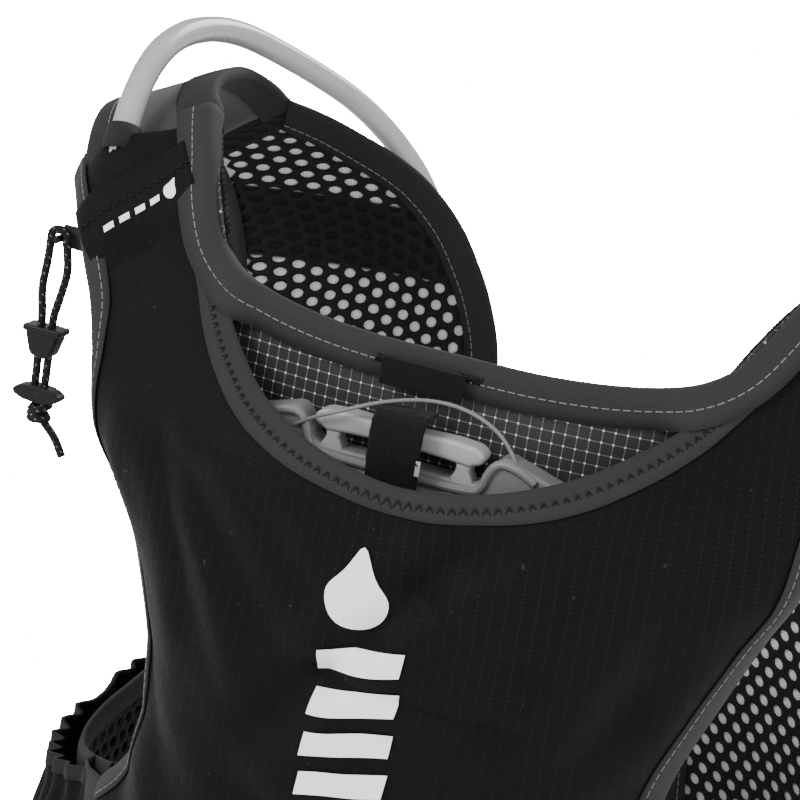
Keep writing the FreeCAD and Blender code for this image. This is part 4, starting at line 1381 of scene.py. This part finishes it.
def make_hem():
    """The tapes along the bottom of the back, the chest panels and the side panels."""
    edge = [(-106 + 212 * i / 80, HEM + 1.0) for i in range(81)]
    tape = fold_tape("hem_tape", edge, back, 1, 8.0, flat_lift(-0.4), above(pocket_lift, 1.4),
                     "grey_tape")
    declare_tape(tape, 0.018)
    for hand, name in HANDS:
        edge = [(hand * (60 + 74 * i / 40), HEM + 1.0) for i in range(41)]
        tape = fold_tape(f"chest_hem_{name}", edge, front, hand, 8.0, flat_lift(-0.4), flat_lift(3.6),
                         "dark_tape")
        declare_tape(tape, 0.018)
        fold = ((8, -0.4), (3, -0.4), (0.4, 0.6), (0.4, 2.4), (3, 4.4), (7, 6.4))
        rows = [[side(45 + 69.3 * i / 60, HEM + z, lift, hand) for z, lift in fold] for i in range(61)]
        skin(f"flank_hem_{name}", rows, "grey_tape", thick=TAPE_THICK)


# ---------------------------------------------------------------- reservoir
def make_bladder():
    """The reservoir: a part-filled film bag with its folded lip."""
    low, high, left, right = -302.0, -108.0, -66.0, 62.0
    def at(u, v, far):
        fill = math.sqrt(max(1.0 - (2 * u - 1) ** 4, 0.0)) * max(math.sin(math.pi * v), 0.0) ** 1.2
        lift = 5.9 + 14.8 * fill + 8.0 * v ** 6 if far else 4.6 + 5.0 * v ** 6
        if far:
            lift += 0.5 * noise.noise(Vector((u * 6, v * 9, 1.0)))
        return back(left + u * (right - left), low + v * (high - low), lift)
    cols, rows = 49, 61
    outer, inner = ([[at(j / (cols - 1), i / (rows - 1), far) for j in range(cols)] for i in range(rows)]
                    for far in (True, False))
    film = closed_shell("reservoir_bag", outer, inner, "bladder")
    lip = block("reservoir_lip", rectangle(-64, -112, 60, -91), -111.2, -107.8, "bladder", "vest", 1.2)
    join_into(film, [lip])
    stand_in("bladder")


SLIDE_X, SLIDE_TOP, SLIDE_NEAR, SLIDE_FAR = -9.0, -79.0, -115.25, -104.2


def make_slide():
    """The reservoir's slide with a cradle for its carrying bar, the bar, and the leash to the bag."""
    def at(points):
        return [(SLIDE_X + x, SLIDE_TOP + z) for x, z in points]
    def arc(cx, cz, r, a, b):
        turns = [math.radians(a + (b - a) * k / 5) for k in range(6)]
        return [(cx + r * math.cos(turn), cz + r * math.sin(turn)) for turn in turns]
    def rise(label, outline, near, depth, rounding):
        return block(f"slide_{label}", at(outline), SLIDE_NEAR + near, SLIDE_FAR - depth, "slide",
                     "slide", rounding)
    cradle = arc(36, -4, 4.5, 60, 150) + arc(25, -6, 4, 0, -90)
    cradle += arc(-25, -6, 4, -90, -180) + arc(-36, -4, 4.5, 30, 120)
    edge = [(-75, -27), (75, -27), (75, -15), (64, -8)] + cradle + [(-64, -8), (-75, -15)]
    body = rise("rail", edge, 1.6, 0, 1.3)
    half = [(-46, -5), (-40, -2), (-34, -1.5), (-31, -5), (-29, -10.5), (-24, -12.5)]
    lip = half + [(0, -13)] + [(-x, z) for x, z in half[::-1]]
    lip = [tuple(Vector((SLIDE_X + x, SLIDE_NEAR + 1.5, SLIDE_TOP + z))) for x, z in lip]
    more = [tubes("slide_lip", [curve_through(lip, 70)], 1.5, "slide", "slide", sides=10)]
    for k in range(5):
        x = 39 + 7.2 * k
        fin = [(x, -24), (x + 3.2, -24), (x + 7.6, -7.5 - 1.4 * k), (x + 4.4, -7.0 - 1.4 * k)]
        more.append(rise(f"fin{k}", fin, -0.2, 4, 0.9))
    for k in range(4):
        x = -42 - 7.2 * k
        fin = [(x, -24), (x - 3.2, -24), (x - 5.4, -9.5 - 1.0 * k), (x - 2.2, -9.0 - 1.0 * k)]
        more.append(rise(f"rib{k}", fin, 0.2, 4, 0.9))
    more.append(rise("pin", oval(-52, -9.5, 4.4, 4.4), -0.2, 3, 1.0))
    more.append(rise("panel", rectangle(-33, -25.5, 33, -15.5), 0.6, 4, 0.8))
    more += [rise(f"bead{k}", oval(-24 + 8 * k, -20.5, 2.4, 1.2, 14), -0.1, 5, 0.5) for k in range(7)]
    join_into(body, more)
    stand_in("slide_clamp")
    near, far = -114.2, -105.6
    bar = [(-29, -0.6), (-26, 1.6), (-18, 2.2), (0, 1.4), (18, 2.2), (26, 1.6), (29, -0.6), (28, -3.6),
           (24, -5.2), (16, -4.6), (0, -4.0), (-16, -4.6), (-24, -5.2), (-28, -3.6)]
    handle = block("slide_grip", at(bar), near, far, "handle", "slide", 1.9, steps=4)
    posts = []
    for k, x in enumerate((-22, 22)):
        lean = [(x - 3.0, -3.5), (x + 3.0, -3.5), (x + 2.2, -7), (x + 4.8, -12), (x - 4.8, -12),
                (x - 2.2, -7)]
        posts.append(block(f"slide_post{k}", at(lean), near + 1, far - 1, "handle", "slide", 1.2))
    join_into(handle, posts)
    stand_in("slide_handle")
    leash = [(-44, -114, -85), (-38, -116.4, -80.5), (-29, -117.6, -76), (-17, -114, -70.5),
             (-4, -108.6, -67.6), (8, -107.8, -67.4), (19, -108.8, -70.4), (27, -110.4, -76), (32, -112, -84)]
    wire = cord_curve("slide_leash", leash, 1.3, "slide", "slide")
    Vector(leash[0]) * MM


def make_hanger():
    """The loop-tape hanger over the slide's bar, its stitched base and blank side label."""
    low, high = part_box("hanger_base")
    base = block("hanger_ply", rectangle(low.x / MM, low.z / MM, high.x / MM, high.z / MM),
                 low.y / MM, high.y / MM, "pile", "vest", 0.4)
    stand_in("hanger_base")
    path = curve_through([(-107.2, -72.4), (-111.5, -72.0), (-117, -72.1), (-120.9, -75), (-121.9, -82),
                          (-121.6, -90), (-120.6, -97)], 60)
    rows = []
    for i, (y, z) in enumerate(path):
        t = i / 59
        half = 8.6 * math.sqrt(max(1 - max((t - 0.86) / 0.14, 0.0) ** 2, 0.004))
        drift = 1.2 * t
        row = []
        for j in range(19):
            x = -8 + drift + half * (2 * j / 18 - 1)
            fuzz = 0.45 * noise.noise(Vector((x * 0.9, y * 0.9, z * 0.9)))
            cup = 0.5 * (2 * j / 18 - 1) ** 2
            row.append(Vector((x, y - fuzz + cup, z + (fuzz if t < 0.3 else 0))))
        rows.append(row)
    tab = skin("hanger_tab", rows, "pile", "hanger_flap", thick=1.3)
    stand_in("hanger_flap")
    declare_tape(tab, 0.0172)
    label = block("hanger_label", rectangle(0.6, -88.5, 2.2, -83.5), -122.3, -121.9, "label",
                  "hanger_flap", 0.15)
    runs = []
    for x, z in ((-21, -60.5), (7, -60)):
        zigzag = [back(x - 3.4 + 0.85 * k, z + (1.2 if k % 2 else -1.2), 5.2) for k in range(10)]
        runs += [[p, q] for p, q in zip(zigzag, zigzag[1:])]
    tubes("hanger_bartacks", runs, 0.42, "black_thread")


# ---------------------------------------------------------------- small parts
def make_webs():
    """The four webs of the chest straps; each long one is given a mesh of its own."""
    for level in ("upper", "lower"):
        for kind, body in (("short_web", f"{level}_strap_left"), ("long_web", f"{level}_strap_right")):
            low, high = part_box(f"{kind}_{level}")
            x0, x1 = low.x / MM, high.x / MM
            rows = []
            for i in range(41):
                x = x0 + (x1 - x0) * i / 40
                dip = 0.35 * math.sin(math.pi * i / 40)
                rows.append([Vector((x, (low.y + high.y) / 2 / MM - dip * (1 - (2 * j / 12 - 1) ** 2),
                                     low.z / MM + (high.z - low.z) / MM * j / 12)) for j in range(13)])
            web = skin(f"{kind}_strip_{level}", rows, "web", body, thick=1.3)
            stand_in(f"{kind}_{level}")
            declare_tape(web, 0.015)
            if kind == "long_web":
                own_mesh(web)


def make_keepers():
    """The two elastic bands that hold the hose, each a plain ring."""
    for label, place, tilt in (("hose_keeper_back", (-139, -65.5, -19), (-4, 13, 20)),
                               ("hose_keeper_front", (-77.5, 118.5, -80), (5, 3, -24))):
        axis = Vector(tilt).normalized()
        one = axis.orthogonal().normalized()
        two = axis.cross(one)
        shape = [(5.1, -4.5), (6.0, -4.6), (6.25, 0), (6.0, 4.6), (5.1, 4.5), (5.0, 0)]
        rows = []
        for k in range(41):
            angle = 2 * math.pi * k / 40
            out = one * math.cos(angle) + two * math.sin(angle)
            rows.append([Vector(place) + out * r + axis * h for r, h in shape + shape[:1]])
        ring = skin(f"{label}_band", rows, "dark_tape")
        stand_in(label)


def make_pole_tab():
    """The sewn tab that carries the pole cord, with its pin."""
    low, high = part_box("pole_tab")
    x0, x1, z0, z1 = (v / MM for v in (low.x, high.x, low.z, high.z))
    tab = block("pole_tab_web", rectangle(x0 + 2, z0, x1, z1), -63.6, -61.9, "web", "vest", 0.5)
    stand_in("pole_tab")
    pin = tubes("pole_tab_pin", [[Vector((-157.5, -63.3, -57.5)), Vector((-157.5, -69.2, -57.5))]], 1.3,
                "black", "vest", sides=16)


make_back()
make_mouth()
make_neck()
make_print()
for hand, name in HANDS:
    make_flap(hand, name)
    make_shoulder(hand, name)
    make_bindings(hand, name)
    make_chest(hand, name)
    make_pockets(hand, name)
    make_flank(hand, name)
make_hem()
make_bladder()
make_slide()
make_hanger()
make_webs()
make_keepers()
make_pole_tab()
